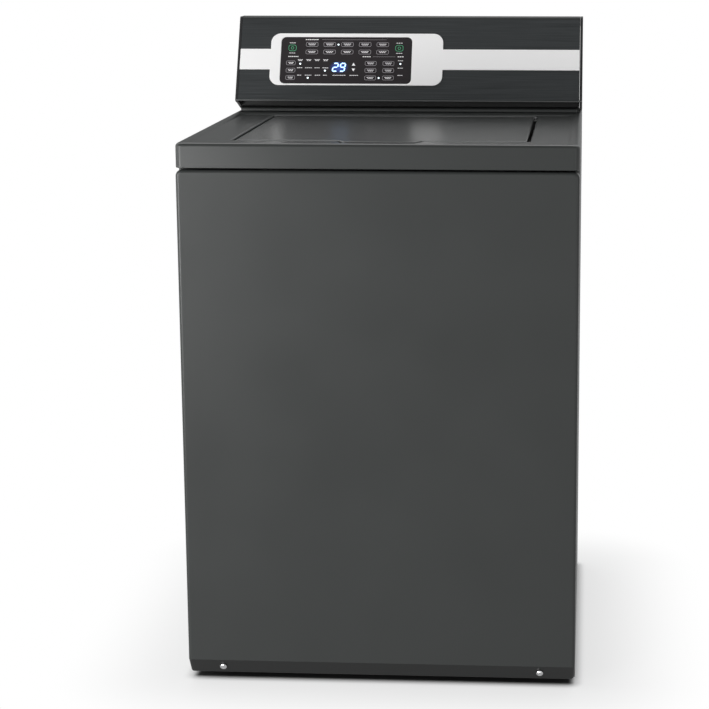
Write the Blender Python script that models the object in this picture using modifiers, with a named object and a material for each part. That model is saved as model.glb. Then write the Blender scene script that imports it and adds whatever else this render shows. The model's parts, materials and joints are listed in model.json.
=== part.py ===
"""A top load washing machine, modelled as the separate pieces it is assembled from.

Metres, +Z up, the front faces -Y and +X is on the right of someone who faces it.
The origin is on the floor, under the middle of the machine.
A point's depth is its distance behind the front face: y = FRONT + depth.
"""

import math

import bmesh
import bpy
from mathutils import Matrix, Vector

# ---------------------------------------------------------------- driving dimensions
WIDTH = 0.651
DEPTH = 0.711
HEIGHT = 1.088
TOP_Z = 0.914
FRONT = -DEPTH / 2
CABINET_BACK = 0.690  # depth of the cabinet's rear face; only pipe ends reach DEPTH

SHEET = 0.0012  # painted sheet steel
GAP = 0.0004  # clearance between pieces that rest on each other
SEAM_Z = 0.8705  # top of the front panel and of the side walls
SKIRT_Z = 0.8735  # lower edge of the top panel
PANEL_WRAP = 0.030  # how far the front panel turns back along the sides

# lid, its pocket in the top panel, and the opening under it
LID_HALF = 0.2385
LID_FRONT = 0.066
LID_BACK = 0.4995
LID_TOP = 0.9130
LID_SKIRT_Z = 0.893
LID_TAB_HALF = 0.054
LID_TAB_REACH = 0.022
LID_SIDE_GAP = 0.006
POCKET_FRONT = 0.0645
POCKET_BACK = 0.509
POCKET_FLOOR = 0.888
WELL_Z = 0.9125  # spill well around the lid, a little under the rim
WELL_BACK = 0.520
OPENING_HALF = 0.222
OPENING_FRONT = 0.084
OPENING_BACK = 0.470
HINGE_DEPTH = 0.4905
HINGE_Z = 0.9045
PIN_RADIUS = 0.003
LOCK_DEPTH = 0.235
LOCK_Z = 0.899
BOLT_RADIUS = 0.0028

# console: its sloping face runs between these two points, (depth, z)
FACE_LOW = (0.562, 0.936)
FACE_HIGH = (0.636, HEIGHT - 0.0028)
CONSOLE_BACK = 0.6875
TOP_ROUNDING = 0.005
CONSOLE_HALF = 0.3205  # the end caps fill the rest of the width
END_CAP = WIDTH / 2 - CONSOLE_HALF - GAP
TRIM_HALF = 0.3200
TRIM_BAR = (0.060, 0.103)  # distances up the face
TRIM_WINDOW = (-0.2625, 0.0626, 0.0294, 0.1340)  # left, right, low, high
TOUCH_PANEL = (-0.2430, 0.0041, 0.0323, 0.1268)

# tub, basket and drive, all on one vertical axis
TUB_DEPTH = 0.335
AXIS = Vector((0, FRONT + TUB_DEPTH, 0))
TUB_RADIUS = 0.283
TUB_FLOOR = 0.215
TUB_RIM = 0.805
TUB_WALL = 0.003
BASKET_RADIUS = 0.262
BASKET_FLOOR = 0.2624
BASKET_RIM = 0.750
BASKET_WALL = 0.0015
RING_TOP = 0.797
FRAME_Z = 0.1965
FRAME_THICK = 0.006
ROD_REACH = 0.265  # rods stand this far from the axis in x and in y
ROD_RADIUS = 0.0045
CUP_TOP = 0.128
BRACE_Z = 0.850
SHAFT_RADIUS = 0.0075
SPIN_TUBE = 0.015
BEARING_OUTER = 0.0258
PULLEY_Z = 0.108
PULLEY_RADIUS = 0.105
MOTOR_PULLEY_RADIUS = 0.021
MOTOR_REACH = 0.200
PUMP_REACH = 0.215
BELT_THICK = 0.0035
BELT_HALF_HEIGHT = 0.0045

BASE_Z = 0.030
LEG_X = 0.275
LEG_DEPTHS = (0.075, 0.635)
SCREW_X = 0.267
SCREW_Z = 0.029
TOE_Z = 0.041  # the front panel slopes back below this height
TOE_DEPTH = 0.011
PANEL_FOOT_Z = 0.015

# what passes through the back panel
VALVE_X, VALVE_Z, VALVE_PITCH = -0.130, 0.800, 0.060
DRAIN_X, DRAIN_Z = 0.235, 0.780
CORD_X, CORD_Z = 0.235, 0.690

parts = bpy.data.collections.new("top_load_washer")
cutters = bpy.data.collections.new("cutters")


# ---------------------------------------------------------------- materials
def paint(name, colour, roughness, metallic=0.0):
    """A Principled material with one colour."""
    material = bpy.data.materials.new(name)
    material.use_nodes = True
    shader = material.node_tree.nodes["Principled BSDF"]
    shader.inputs["Base Color"].default_value = (*colour, 1.0)
    shader.inputs["Roughness"].default_value = roughness
    shader.inputs["Metallic"].default_value = metallic
    return material


CABINET_PAINT = paint("cabinet_paint", (0.070, 0.072, 0.072), 0.42)
FASCIA_BLACK = paint("brushed_black", (0.042, 0.045, 0.047), 0.45, 0.4)
SILVER = paint("silver_trim", (0.70, 0.69, 0.69), 0.35, 0.3)
GLASS_BLACK = paint("black_touch_panel", (0.012, 0.010, 0.012), 0.15)
GALVANISED = paint("galvanised_steel", (0.45, 0.46, 0.47), 0.45, 0.9)
STAINLESS = paint("stainless_steel", (0.62, 0.62, 0.61), 0.28, 1.0)
BRIGHT_STEEL = paint("bright_steel", (0.75, 0.75, 0.76), 0.2, 1.0)
WHITE_PLASTIC = paint("white_plastic", (0.78, 0.79, 0.79), 0.4)
GREY_PLASTIC = paint("grey_plastic", (0.36, 0.38, 0.40), 0.5)
BLACK_PLASTIC = paint("black_plastic", (0.02, 0.02, 0.02), 0.5)
RUBBER = paint("black_rubber", (0.015, 0.015, 0.015), 0.8)
BOARD_GREEN = paint("circuit_board", (0.02, 0.12, 0.05), 0.5)
CAST_ALUMINIUM = paint("cast_aluminium", (0.5, 0.5, 0.5), 0.5, 0.9)


# ---------------------------------------------------------------- making and joining shapes
def clear_scene():
    """Removes what the scene starts with and links this model's collections."""
    for thing in list(bpy.data.objects):
        bpy.data.objects.remove(thing)
    bpy.context.scene.collection.children.link(parts)
    bpy.context.scene.collection.children.link(cutters)
    cutters.hide_render = True


def add(name, data, material):
    """Links a new object into the model."""
    thing = bpy.data.objects.new(name, data)
    parts.objects.link(thing)
    data.materials.append(material)
    return thing


def as_mesh(thing):
    """Turns a curve or a mesh with modifiers into a plain welded mesh of the same name."""
    bpy.context.view_layer.update()
    graph = bpy.context.evaluated_depsgraph_get()
    mesh = bpy.data.meshes.new_from_object(thing.evaluated_get(graph))
    work = bmesh.new()
    work.from_mesh(mesh)
    bmesh.ops.remove_doubles(work, verts=work.verts, dist=1e-6)
    work.to_mesh(mesh)
    work.free()
    place = thing.matrix_world.copy()
    name = thing.name
    bpy.data.objects.remove(thing)
    made = bpy.data.objects.new(name, mesh)
    parts.objects.link(made)
    made.matrix_world = place
    return made


def combine(thing, others, operation="DIFFERENCE"):
    """Cuts others out of thing, or joins them to it, and leaves one plain mesh."""
    for other in others:
        parts.objects.unlink(other)
        cutters.objects.link(other)
        other.hide_render = True
        other.display_type = "WIRE"
        step = thing.modifiers.new(operation.lower(), "BOOLEAN")
        step.operation = operation
        step.solver = "EXACT"
        step.object = other
    made = as_mesh(thing)
    for other in others:
        bpy.data.objects.remove(other)
    return made


def smooth(thing, angle=35):
    """Smooth shading, apart from edges sharper than angle."""
    thing.data.shade_smooth()
    thing.data.set_sharp_from_angle(angle=math.radians(angle))
    return thing


def bevel(thing, width, segments=2):
    """Rounds a mesh's sharp edges."""
    step = thing.modifiers.new("round", "BEVEL")
    step.width = width
    step.segments = segments
    step.limit_method = "ANGLE"
    step.angle_limit = math.radians(35)
    return thing


def block(name, low, high, material):
    """A box between two corners given as (x, depth, z)."""
    size = [b - a for a, b in zip(low, high)]
    middle = [(a + b) / 2 for a, b in zip(low, high)]
    work = bmesh.new()
    bmesh.ops.create_cube(work, size=1.0, matrix=Matrix.Diagonal((*size, 1.0)))
    mesh = bpy.data.meshes.new(name)
    work.to_mesh(mesh)
    work.free()
    thing = add(name, mesh, material)
    thing.location = (middle[0], FRONT + middle[1], middle[2])
    return thing


def rod(name, start, end, radius, material, sides=16, end_radius=None):
    """A cylinder or cone between two world points."""
    start, end = Vector(start), Vector(end)
    along = end - start
    work = bmesh.new()
    bmesh.ops.create_cone(
        work,
        cap_ends=True,
        segments=sides,
        radius1=radius,
        radius2=radius if end_radius is None else end_radius,
        depth=along.length,
    )
    mesh = bpy.data.meshes.new(name)
    work.to_mesh(mesh)
    work.free()
    thing = add(name, mesh, material)
    thing.location = (start + end) / 2
    thing.rotation_mode = "QUATERNION"
    thing.rotation_quaternion = along.to_track_quat("Z", "Y")
    return smooth(thing)


def turned(name, profile, material, centre=AXIS, steps=32, closed=True):
    """Revolves (radius, z) points about a vertical axis. A closed profile makes a ring.

    The points run down the outer side and up the inner one."""
    count = len(profile)
    edges = [(i, i + 1) for i in range(count - 1)]
    if closed:
        edges.append((count - 1, 0))
    mesh = bpy.data.meshes.new(name)
    mesh.from_pydata([(r, 0, z) for r, z in profile], edges, [])
    thing = add(name, mesh, material)
    thing.location = centre
    screw = thing.modifiers.new("turn", "SCREW")
    screw.steps = steps
    screw.render_steps = steps
    screw.use_merge_vertices = True
    screw.merge_threshold = 1e-6
    return thing


def plate(name, loops, thickness, material):
    """A flat plate in XY from an outline and, after it, the outlines of its holes."""
    curve = bpy.data.curves.new(name, "CURVE")
    curve.dimensions = "2D"
    curve.fill_mode = "BOTH"
    curve.extrude = thickness / 2
    for loop in loops:
        spline = curve.splines.new("POLY")
        spline.points.add(len(loop) - 1)
        for point, (x, y) in zip(spline.points, loop):
            point.co = (x, y, 0, 1)
        spline.use_cyclic_u = True
    return add(name, curve, material)


def pipe(name, points, radius, material, resolution=1):
    """A round hose or wire along points, with a spline's smoothness already in them."""
    curve = bpy.data.curves.new(name, "CURVE")
    curve.dimensions = "3D"
    curve.bevel_depth = radius
    curve.bevel_resolution = resolution
    curve.use_fill_caps = True
    spline = curve.splines.new("POLY")
    spline.points.add(len(points) - 1)
    for point, place in zip(spline.points, points):
        point.co = (*place, 1)
    return add(name, curve, material)


def smooth_path(points, between=3):
    """A Catmull-Rom curve through points."""
    points = [Vector(p) for p in points]
    ends = [2 * points[0] - points[1], *points, 2 * points[-1] - points[-2]]
    path = []
    for a, b, c, d in zip(ends, ends[1:], ends[2:], ends[3:]):
        for step in range(between):
            t = step / between
            path.append(
                0.5
                * (
                    2 * b
                    + (c - a) * t
                    + (2 * a - 5 * b + 4 * c - d) * t**2
                    + (3 * b - a - 3 * c + d) * t**3
                )
            )
    return [*path, points[-1]]


def arc(centre, radius, start, end, steps):
    """Points on a circle, angles in degrees."""
    turn = [math.radians(start + (end - start) * i / steps) for i in range(steps + 1)]
    return [(centre[0] + radius * math.cos(a), centre[1] + radius * math.sin(a)) for a in turn]


def circle(centre, radius, steps=16):
    return arc(centre, radius, 0, 360, steps)[:-1]


def rounded_box(left, right, low, high, radius, steps=3):
    """A rectangle's outline with round corners, anticlockwise from its lower right corner."""
    r = radius
    return (
        arc((right - r, low + r), r, -90, 0, steps)
        + arc((right - r, high - r), r, 0, 90, steps)
        + arc((left + r, high - r), r, 90, 180, steps)
        + arc((left + r, low + r), r, 180, 270, steps)
    )


def tabbed_outline(half, front, back, radius, z, reach=0.0, tab_half=LID_TAB_HALF):
    """A rounded rectangle at height z, with a tab in the middle of its front edge.

    Every call gives as many points, so that two such outlines can be joined by faces."""
    slope = 0.0135
    tab = [
        (-tab_half - slope, front),
        (-tab_half, front - reach),
        (tab_half, front - reach),
        (tab_half + slope, front),
    ]
    outline = rounded_box(-half, half, front, back, radius)
    return [(x, FRONT + d, z) for x, d in [*tab, *outline]]


def skin(name, loops, material, cap_last=False):
    """A surface through successive closed outlines, each of as many points."""
    count = len(loops[0])
    points = [p for loop in loops for p in loop]
    faces = []
    for ring in range(len(loops) - 1):
        for i in range(count):
            j = (i + 1) % count
            a, b = ring * count, (ring + 1) * count
            faces.append((a + i, a + j, b + j, b + i))
    if cap_last:
        last = (len(loops) - 1) * count
        faces.append(tuple(range(last, last + count)))
    mesh = bpy.data.meshes.new(name)
    mesh.from_pydata(points, [], faces)
    return add(name, mesh, material)


def thicken(thing, thickness, offset=-1.0):
    """Gives an open surface a wall, inwards for offset -1."""
    step = thing.modifiers.new("wall", "SOLIDIFY")
    step.thickness = thickness
    step.offset = offset
    step.use_even_offset = True
    return thing


def ribbon(path, thickness):
    """The closed outline of a strip of that thickness on the left of an open path."""
    side = []
    for i, point in enumerate(path):
        before = Vector(path[i]) - Vector(path[max(i - 1, 0)])
        after = Vector(path[min(i + 1, len(path) - 1)]) - Vector(path[i])
        before = (before if before.length else after).normalized()
        after = (after if after.length else before).normalized()
        normal = Vector((-before.y - after.y, before.x + after.x)).normalized()
        reach = thickness / max(0.3, normal.dot(Vector((-after.y, after.x))))
        side.append((point[0] + normal.x * reach, point[1] + normal.y * reach))
    return [*path, *reversed(side)]


def stand_along_x(thing, x=0.0):
    """Turns a plate drawn in (depth, z) so that its thickness runs along X, centred at x."""
    thing.matrix_world = Matrix(
        ((0, 0, 1, x), (1, 0, 0, FRONT), (0, 1, 0, 0), (0, 0, 0, 1))
    )
    return thing


def stand_along_y(thing, depth):
    """Turns a plate drawn in (x, z) so that its thickness runs along Y, centred at depth."""
    thing.matrix_world = Matrix(
        ((1, 0, 0, 0), (0, 0, 1, FRONT + depth), (0, 1, 0, 0), (0, 0, 0, 1))
    )
    return thing


# ---------------------------------------------------------------- cabinet
def base_frame():
    """A pressed steel ring: a wall all round, a floor for the legs, and an inner lip."""
    half, front, back, width = WIDTH / 2 - 0.0035, 0.0335, CABINET_BACK - 0.004, 0.065
    loops = [
        tabbed_outline(half, front, back, 0.012, BASE_Z + 0.032),
        tabbed_outline(half, front, back, 0.012, BASE_Z),
        tabbed_outline(half - width, front + width, back - width, 0.030, BASE_Z),
        tabbed_outline(half - width, front + width, back - width, 0.030, BASE_Z + 0.014),
    ]
    ring = thicken(skin("base_frame", loops, GALVANISED), 0.002, 1.0)
    holes = [
        rod("leg_hole", (x, FRONT + d, 0), (x, FRONT + d, 0.1), 0.006, GALVANISED)
        for x in (-LEG_X, LEG_X)
        for d in LEG_DEPTHS
    ]
    return smooth(combine(ring, holes))


def leveling_legs():
    """Four threaded legs, each with a collar on a round rubber foot."""
    collar = BASE_Z - GAP
    for x, side in ((-LEG_X, "left"), (LEG_X, "right")):
        for d, end in zip(LEG_DEPTHS, ("front", "rear")):
            profile = [
                (0, 0.076),
                (0.0048, 0.074),
                (0.0048, collar),
                (0.0105, collar),
                (0.0105, 0.011),
                (0.0175, 0.010),
                (0.0190, 0.007),
                (0.0190, 0.0),
                (0, 0.0),
            ]
            leg = turned(
                f"leveling_leg_{end}_{side}",
                profile,
                RUBBER,
                centre=(x, FRONT + d, 0),
                steps=12,
                closed=False,
            )
            smooth(leg)


def cabinet_wrap():
    """Both sides and the back in one bent sheet, with returns behind the front panel."""
    half, lip, corner = WIDTH / 2, 0.022, 0.010
    front = PANEL_WRAP + GAP
    path = (
        [(half - lip, front)]
        + arc((half - 0.003, front + 0.003), 0.003, -90, 0, 2)
        + arc((half - corner, CABINET_BACK - corner), corner, 0, 90, 4)
        + arc((-half + corner, CABINET_BACK - corner), corner, 90, 180, 4)
        + arc((-half + 0.003, front + 0.003), 0.003, 180, 270, 2)
        + [(-half + lip, front)]
    )
    wall = plate("cabinet_wrap", [ribbon(path, SHEET)], SEAM_Z - 0.0125, CABINET_PAINT)
    wall.location = (0, FRONT, (SEAM_Z + 0.0125) / 2)
    wall = as_mesh(wall)
    back_low, back_high = CABINET_BACK - 0.02, CABINET_BACK + 0.02

    def hole(x, z, radius):
        ends = [(x, FRONT + d, z) for d in (back_low, back_high)]
        return rod("hole", *ends, radius, CABINET_PAINT, 20)

    holes = [
        block("hole", (-0.19, back_low, 0.10), (0.19, back_high, 0.40), CABINET_PAINT),
        hole(VALVE_X - VALVE_PITCH / 2, VALVE_Z, 0.0155),
        hole(VALVE_X + VALVE_PITCH / 2, VALVE_Z, 0.0155),
        hole(DRAIN_X, DRAIN_Z, 0.0165),
        hole(CORD_X, CORD_Z, 0.0105),
    ]
    return smooth(combine(wall, holes))


def rear_cover():
    """The service plate over the drive, with rows of air slots."""
    outline = rounded_box(-0.215, 0.215, 0.075, 0.425, 0.012)
    slots = [
        rounded_box(x - 0.030, x + 0.030, z - 0.0035, z + 0.0035, 0.002, 1)
        for x in (-0.11, 0, 0.11)
        for z in (0.34, 0.36)
    ]
    cover = plate("rear_cover", [outline, *slots], SHEET, CABINET_PAINT)
    return stand_along_y(cover, CABINET_BACK + GAP + SHEET / 2)


def toe_depth(z):
    """How far the front panel has sloped back at height z."""
    return max(0.0, (TOE_Z - z) / (TOE_Z - PANEL_FOOT_Z)) * TOE_DEPTH


def front_panel():
    """One folded panel: rounded outline, rolled edges, and a toe that slopes back."""
    half, top, low = WIDTH / 2, SEAM_Z, PANEL_FOOT_Z
    work = bmesh.new()
    bmesh.ops.create_cube(work, size=1.0)
    for vert in work.verts:
        vert.co.x *= 2 * half
        vert.co.y = FRONT + (PANEL_WRAP if vert.co.y > 0 else 0)
        vert.co.z = top if vert.co.z > 0 else low
    bmesh.ops.bisect_plane(
        work, geom=[*work.verts, *work.edges, *work.faces], plane_co=(0, 0, TOE_Z), plane_no=(0, 0, 1)
    )
    for vert in work.verts:
        if vert.co.z < TOE_Z - 1e-6 and vert.co.y < FRONT + 1e-6:
            vert.co.y = FRONT + TOE_DEPTH
    back = [f for f in work.faces if f.calc_center_median().y > FRONT + PANEL_WRAP - 1e-6]
    bmesh.ops.delete(work, geom=back, context="FACES")

    def sharp(test):
        return [e for e in work.edges if len(e.link_faces) == 2 and test(e)]

    def runs_back(edge):
        a, b = (v.co for v in edge.verts)
        return abs(a.x - b.x) < 1e-6 and abs(a.z - b.z) < 1e-6 and a.z > TOE_Z

    bmesh.ops.bevel(
        work, geom=sharp(runs_back), offset=0.009, segments=4, profile=0.5, affect="EDGES"
    )

    def on_front(edge):
        middle = (edge.verts[0].co + edge.verts[1].co) / 2
        turned_edge = edge.calc_face_angle(0) > math.radians(35)
        return turned_edge and middle.y < FRONT + TOE_DEPTH + 1e-4

    bmesh.ops.bevel(
        work, geom=sharp(on_front), offset=0.005, segments=3, profile=0.5, affect="EDGES"
    )
    mesh = bpy.data.meshes.new("front_panel")
    work.to_mesh(mesh)
    work.free()
    panel = thicken(add("front_panel", mesh, CABINET_PAINT), SHEET)
    holes = [
        rod("hole", *screw_line(x, -0.01, 0.01), 0.0026, CABINET_PAINT, 12)
        for x in (-SCREW_X, SCREW_X)
    ]
    return smooth(combine(panel, holes))


def screw_line(x, start, end):
    """Two points on a toe screw's axis, at these distances outside the panel's surface."""
    slope = math.atan2(TOE_DEPTH, TOE_Z - PANEL_FOOT_Z)
    out = Vector((0, -math.cos(slope), -math.sin(slope)))
    seat = Vector((x, FRONT + toe_depth(SCREW_Z), SCREW_Z))
    return seat + out * start, seat + out * end


def toe_screws():
    """Two round headed screws that hold the front panel's foot."""
    for x, side in ((-SCREW_X, "left"), (SCREW_X, "right")):
        name = f"toe_screw_{side}"
        head = rod(name, *screw_line(x, GAP, 0.0022), 0.0057, BRIGHT_STEEL, 18)
        crown = rod("crown", *screw_line(x, 0.002, 0.0036), 0.0052, BRIGHT_STEEL, 18, 0.0034)
        shank = rod("shank", *screw_line(x, -0.010, 0.001), 0.0021, BRIGHT_STEEL, 10)
        smooth(combine(head, [crown, shank], "UNION"))


def top_panel():
    """The enamelled top: skirt, rim, spill well, lid pocket, and the opening's flange."""
    half = WIDTH / 2
    pocket_half, pocket_tab = LID_HALF + LID_SIDE_GAP, LID_TAB_HALF + 0.006
    pocket_reach = LID_TAB_REACH + 0.0085
    loops = [
        tabbed_outline(half, 0, CABINET_BACK, 0.008, SKIRT_Z),
        tabbed_outline(half, 0, CABINET_BACK, 0.008, TOP_Z - 0.005),
        tabbed_outline(half - 0.0015, 0.0015, CABINET_BACK - 0.0015, 0.008, TOP_Z - 0.0015),
        tabbed_outline(half - 0.005, 0.005, CABINET_BACK - 0.005, 0.008, TOP_Z),
        tabbed_outline(half - 0.014, 0.013, WELL_BACK + 0.006, 0.012, TOP_Z),
        tabbed_outline(half - 0.021, 0.019, WELL_BACK, 0.012, WELL_Z),
        tabbed_outline(
            pocket_half, POCKET_FRONT, POCKET_BACK, 0.010, WELL_Z, pocket_reach, pocket_tab
        ),
        tabbed_outline(
            pocket_half, POCKET_FRONT, POCKET_BACK, 0.010, POCKET_FLOOR, pocket_reach, pocket_tab
        ),
        tabbed_outline(OPENING_HALF, OPENING_FRONT, OPENING_BACK, 0.045, POCKET_FLOOR),
        tabbed_outline(OPENING_HALF, OPENING_FRONT, OPENING_BACK, 0.045, POCKET_FLOOR - 0.022),
    ]
    panel = thicken(skin("top_panel", loops, CABINET_PAINT), SHEET)
    pin_y = FRONT + HINGE_DEPTH
    holes = [
        rod("hole", (s * 0.235, pin_y, HINGE_Z), (s * 0.25, pin_y, HINGE_Z), 0.0033, CABINET_PAINT)
        for s in (-1, 1)
    ]
    lock_y = FRONT + LOCK_DEPTH
    holes.append(
        rod("hole", (0.235, lock_y, LOCK_Z), (0.25, lock_y, LOCK_Z), BOLT_RADIUS + GAP, CABINET_PAINT)
    )
    return smooth(combine(panel, holes), 25)


def top_braces():
    """Two bent rails inside the cabinet's top edges. The suspension rods hang from them."""
    outer, inner = WIDTH / 2 - SHEET - GAP, 0.236
    for side, name in ((-1, "left"), (1, "right")):
        path = [(inner, BRACE_Z - 0.012), (inner, BRACE_Z), (outer, BRACE_Z), (outer, BRACE_Z - 0.030)]
        outline = [(side * x, z) for x, z in ribbon(path, -0.002)]
        rail = plate(f"top_brace_{name}", [outline], 0.64, GALVANISED)
        rail = as_mesh(stand_along_y(rail, 0.040 + 0.32))
        holes = [
            rod("hole", (side * ROD_REACH, y, 0.8), (side * ROD_REACH, y, 0.9), 0.007, GALVANISED)
            for y in (AXIS.y - ROD_REACH, AXIS.y + ROD_REACH)
        ]
        combine(rail, holes)


# ---------------------------------------------------------------- lid and its lock
def lid_shell():
    """The lid's outer pressing, with a finger tab in the middle of its front edge."""

    def edge(inset, z):
        return tabbed_outline(
            LID_HALF - inset,
            LID_FRONT + inset,
            LID_BACK - inset,
            0.006,
            z,
            LID_TAB_REACH,
            LID_TAB_HALF - inset / 2,
        )

    loops = [
        edge(0, LID_SKIRT_Z),
        edge(0, LID_TOP - 0.0035),
        edge(0.0011, LID_TOP - 0.001),
        edge(0.0035, LID_TOP),
    ]
    lid = thicken(skin("lid_outer", loops, CABINET_PAINT, cap_last=True), SHEET)
    pin_y = FRONT + HINGE_DEPTH
    holes = [
        rod("hole", (s * 0.234, pin_y, HINGE_Z), (s * 0.245, pin_y, HINGE_Z), 0.0033, CABINET_PAINT)
        for s in (-1, 1)
    ]
    lock_y = FRONT + LOCK_DEPTH
    holes.append(
        rod("hole", (0.230, lock_y, LOCK_Z), (0.245, lock_y, LOCK_Z), BOLT_RADIUS + 0.001, CABINET_PAINT)
    )
    return smooth(combine(lid, holes), 25)


def lid_lining():
    """The lid's inner plate, flanged down at its edge and pressed in the middle."""
    inset = SHEET + GAP

    def edge(step, z):
        return tabbed_outline(
            LID_HALF - inset - step,
            LID_FRONT + inset + step,
            LID_BACK - inset - step,
            0.005,
            z,
            LID_TAB_REACH,
            LID_TAB_HALF - inset / 2,
        )

    loops = [
        edge(0.0, 0.8945),
        edge(0.012, 0.8945),
        edge(0.024, 0.8985),
        edge(0.055, 0.8985),
    ]
    lining = thicken(skin("lid_inner", loops, CABINET_PAINT, cap_last=True), SHEET, 1.0)
    return smooth(lining)


def lid_pins():
    """The two pins that the lid turns on."""
    y = FRONT + HINGE_DEPTH
    for side, name in ((-1, "left"), (1, "right")):
        ends = [(side * x, y, HINGE_Z) for x in (0.222, 0.2490)]
        rod(f"lid_hinge_pin_{name}", *ends, PIN_RADIUS, BRIGHT_STEEL, 16)


def lid_lock():
    """A bolt that slides into the lid's side, in its housing under the top panel."""
    y, z = FRONT + LOCK_DEPTH, LOCK_Z
    housing = block(
        "lid_lock_housing",
        (0.2500, LOCK_DEPTH - 0.036, 0.884),
        (0.3000, LOCK_DEPTH + 0.036, 0.9070),
        BLACK_PLASTIC,
    )
    bore = rod("bore", (0.245, y, z), (0.2925, y, z), BOLT_RADIUS + GAP, BLACK_PLASTIC, 20)
    combine(housing, [bore])
    rod("lid_lock_bolt", (0.2460, y, z), (0.2800, y, z), BOLT_RADIUS, BRIGHT_STEEL, 16)


def bleach_cup():
    """A small funnel that rests on the pocket's floor in the front left corner."""
    rest = POCKET_FLOOR + GAP
    profile = [
        (0, rest - 0.0395),
        (0.0170, rest - 0.0395),
        (0.0315, rest - 0.022),
        (0.0320, rest + 0.0015),
        (0.0460, rest + 0.0015),
        (0.0460, rest),
        (0.0335, rest),
        (0.0330, rest - 0.023),
        (0.0180, rest - 0.041),
        (0, rest - 0.041),
    ]
    centre = (-0.183, FRONT + 0.123, 0)
    return smooth(turned("bleach_cup", profile, WHITE_PLASTIC, centre, steps=16, closed=False))


# ---------------------------------------------------------------- console
FACE_UP = Vector((FACE_HIGH[0] - FACE_LOW[0], FACE_HIGH[1] - FACE_LOW[1])).normalized()
FACE_OUT = Vector((-FACE_UP.y, FACE_UP.x))  # (depth, z), away from the console


def on_face(thing, offset):
    """Lays a plate drawn in (x, distance up the face) on the face, centred offset outside it."""
    origin = Vector(FACE_LOW) + FACE_OUT * offset
    thing.matrix_world = Matrix(
        (
            (1, 0, 0, 0),
            (0, FACE_UP.x, FACE_OUT.x, FRONT + origin.x),
            (0, FACE_UP.y, FACE_OUT.y, origin.y),
            (0, 0, 0, 1),
        )
    )
    return thing


def console_path():
    """The hood's section from its foot, over the face and top, to its rear flange."""
    r = TOP_ROUNDING
    centre = Vector(FACE_HIGH) - FACE_OUT * r
    start = math.degrees(math.atan2(FACE_OUT.y, FACE_OUT.x))
    return (
        [(0.610, TOP_Z + GAP), (0.570, TOP_Z + GAP), (0.570, 0.9225)]
        + [(0.602, 0.9225), (0.602, 0.9340), FACE_LOW]
        + arc(centre, r, start, 90, 3)
        + arc((CONSOLE_BACK - r, centre.y), r, 90, 0, 3)
        + [(CONSOLE_BACK, 1.0700)]
    )


def console_housing():
    """The bent hood. The ribbon's wall is on the inner side of the path."""
    outline = ribbon(console_path(), -0.0015)
    hood = plate("console_housing", [outline], 2 * CONSOLE_HALF, CABINET_PAINT)
    return stand_along_x(hood)


def console_end_caps():
    """Moulded caps that close the hood's ends."""
    path = console_path()
    outline = [*path[1:-1], (CONSOLE_BACK, TOP_Z + GAP)]
    for side, name in ((-1, "left"), (1, "right")):
        cap = plate(f"console_end_cap_{name}", [outline], END_CAP, BLACK_PLASTIC)
        middle = side * (WIDTH / 2 - END_CAP / 2)
        smooth(bevel(as_mesh(stand_along_x(cap, middle)), 0.0012, 2))


def console_back_cover():
    """The hood's rear plate, with air slots."""
    outline = rounded_box(-0.318, 0.318, TOP_Z + 0.003, 1.069, 0.004, 2)
    slots = [
        rounded_box(x - 0.020, x + 0.020, z - 0.002, z + 0.002, 0.001, 1)
        for x in (-0.20, -0.14, 0.14, 0.20)
        for z in (1.030, 1.040)
    ]
    cover = plate("console_back_cover", [outline, *slots], SHEET, GALVANISED)
    return stand_along_y(cover, CONSOLE_BACK - SHEET / 2)


def face_plates():
    """The face's layers: brushed fascia, silver trim band, and the black touch panel."""
    length = (Vector(FACE_HIGH) - Vector(FACE_LOW)).length
    outline = rounded_box(-TRIM_HALF, TRIM_HALF, 0.002, length - 0.002, 0.002, 2)
    fascia = plate("console_fascia", [outline], 0.001, FASCIA_BLACK)
    on_face(fascia, GAP + 0.0005)
    left, right, low, high = TRIM_WINDOW
    bar_low, bar_high = TRIM_BAR
    r = 0.0185
    outline = (
        [(TRIM_HALF, bar_low), (TRIM_HALF, bar_high), (right, bar_high)]
        + arc((right - r, high - r), r, 0, 90, 6)
        + arc((left + r, high - r), r, 90, 180, 6)
        + [(left, bar_high), (-TRIM_HALF, bar_high), (-TRIM_HALF, bar_low), (left, bar_low)]
        + arc((left + r, low + r), r, 180, 270, 6)
        + arc((right - r, low + r), r, 270, 360, 6)
        + [(right, bar_low)]
    )
    touch_left, touch_right, touch_low, touch_high = TOUCH_PANEL
    window = rounded_box(touch_left, touch_right, touch_low, touch_high, 0.0095, 5)
    trim = plate("console_trim_band", [outline, window], 0.0014, SILVER)
    on_face(trim, 2 * GAP + 0.001 + 0.0007)
    glass_edge = rounded_box(
        touch_left + GAP, touch_right - GAP, touch_low + GAP, touch_high - GAP, 0.0091, 5
    )
    glass = plate("touch_panel", [glass_edge], 0.0017, GLASS_BLACK)
    on_face(glass, 2 * GAP + 0.001 + 0.00085)


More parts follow.
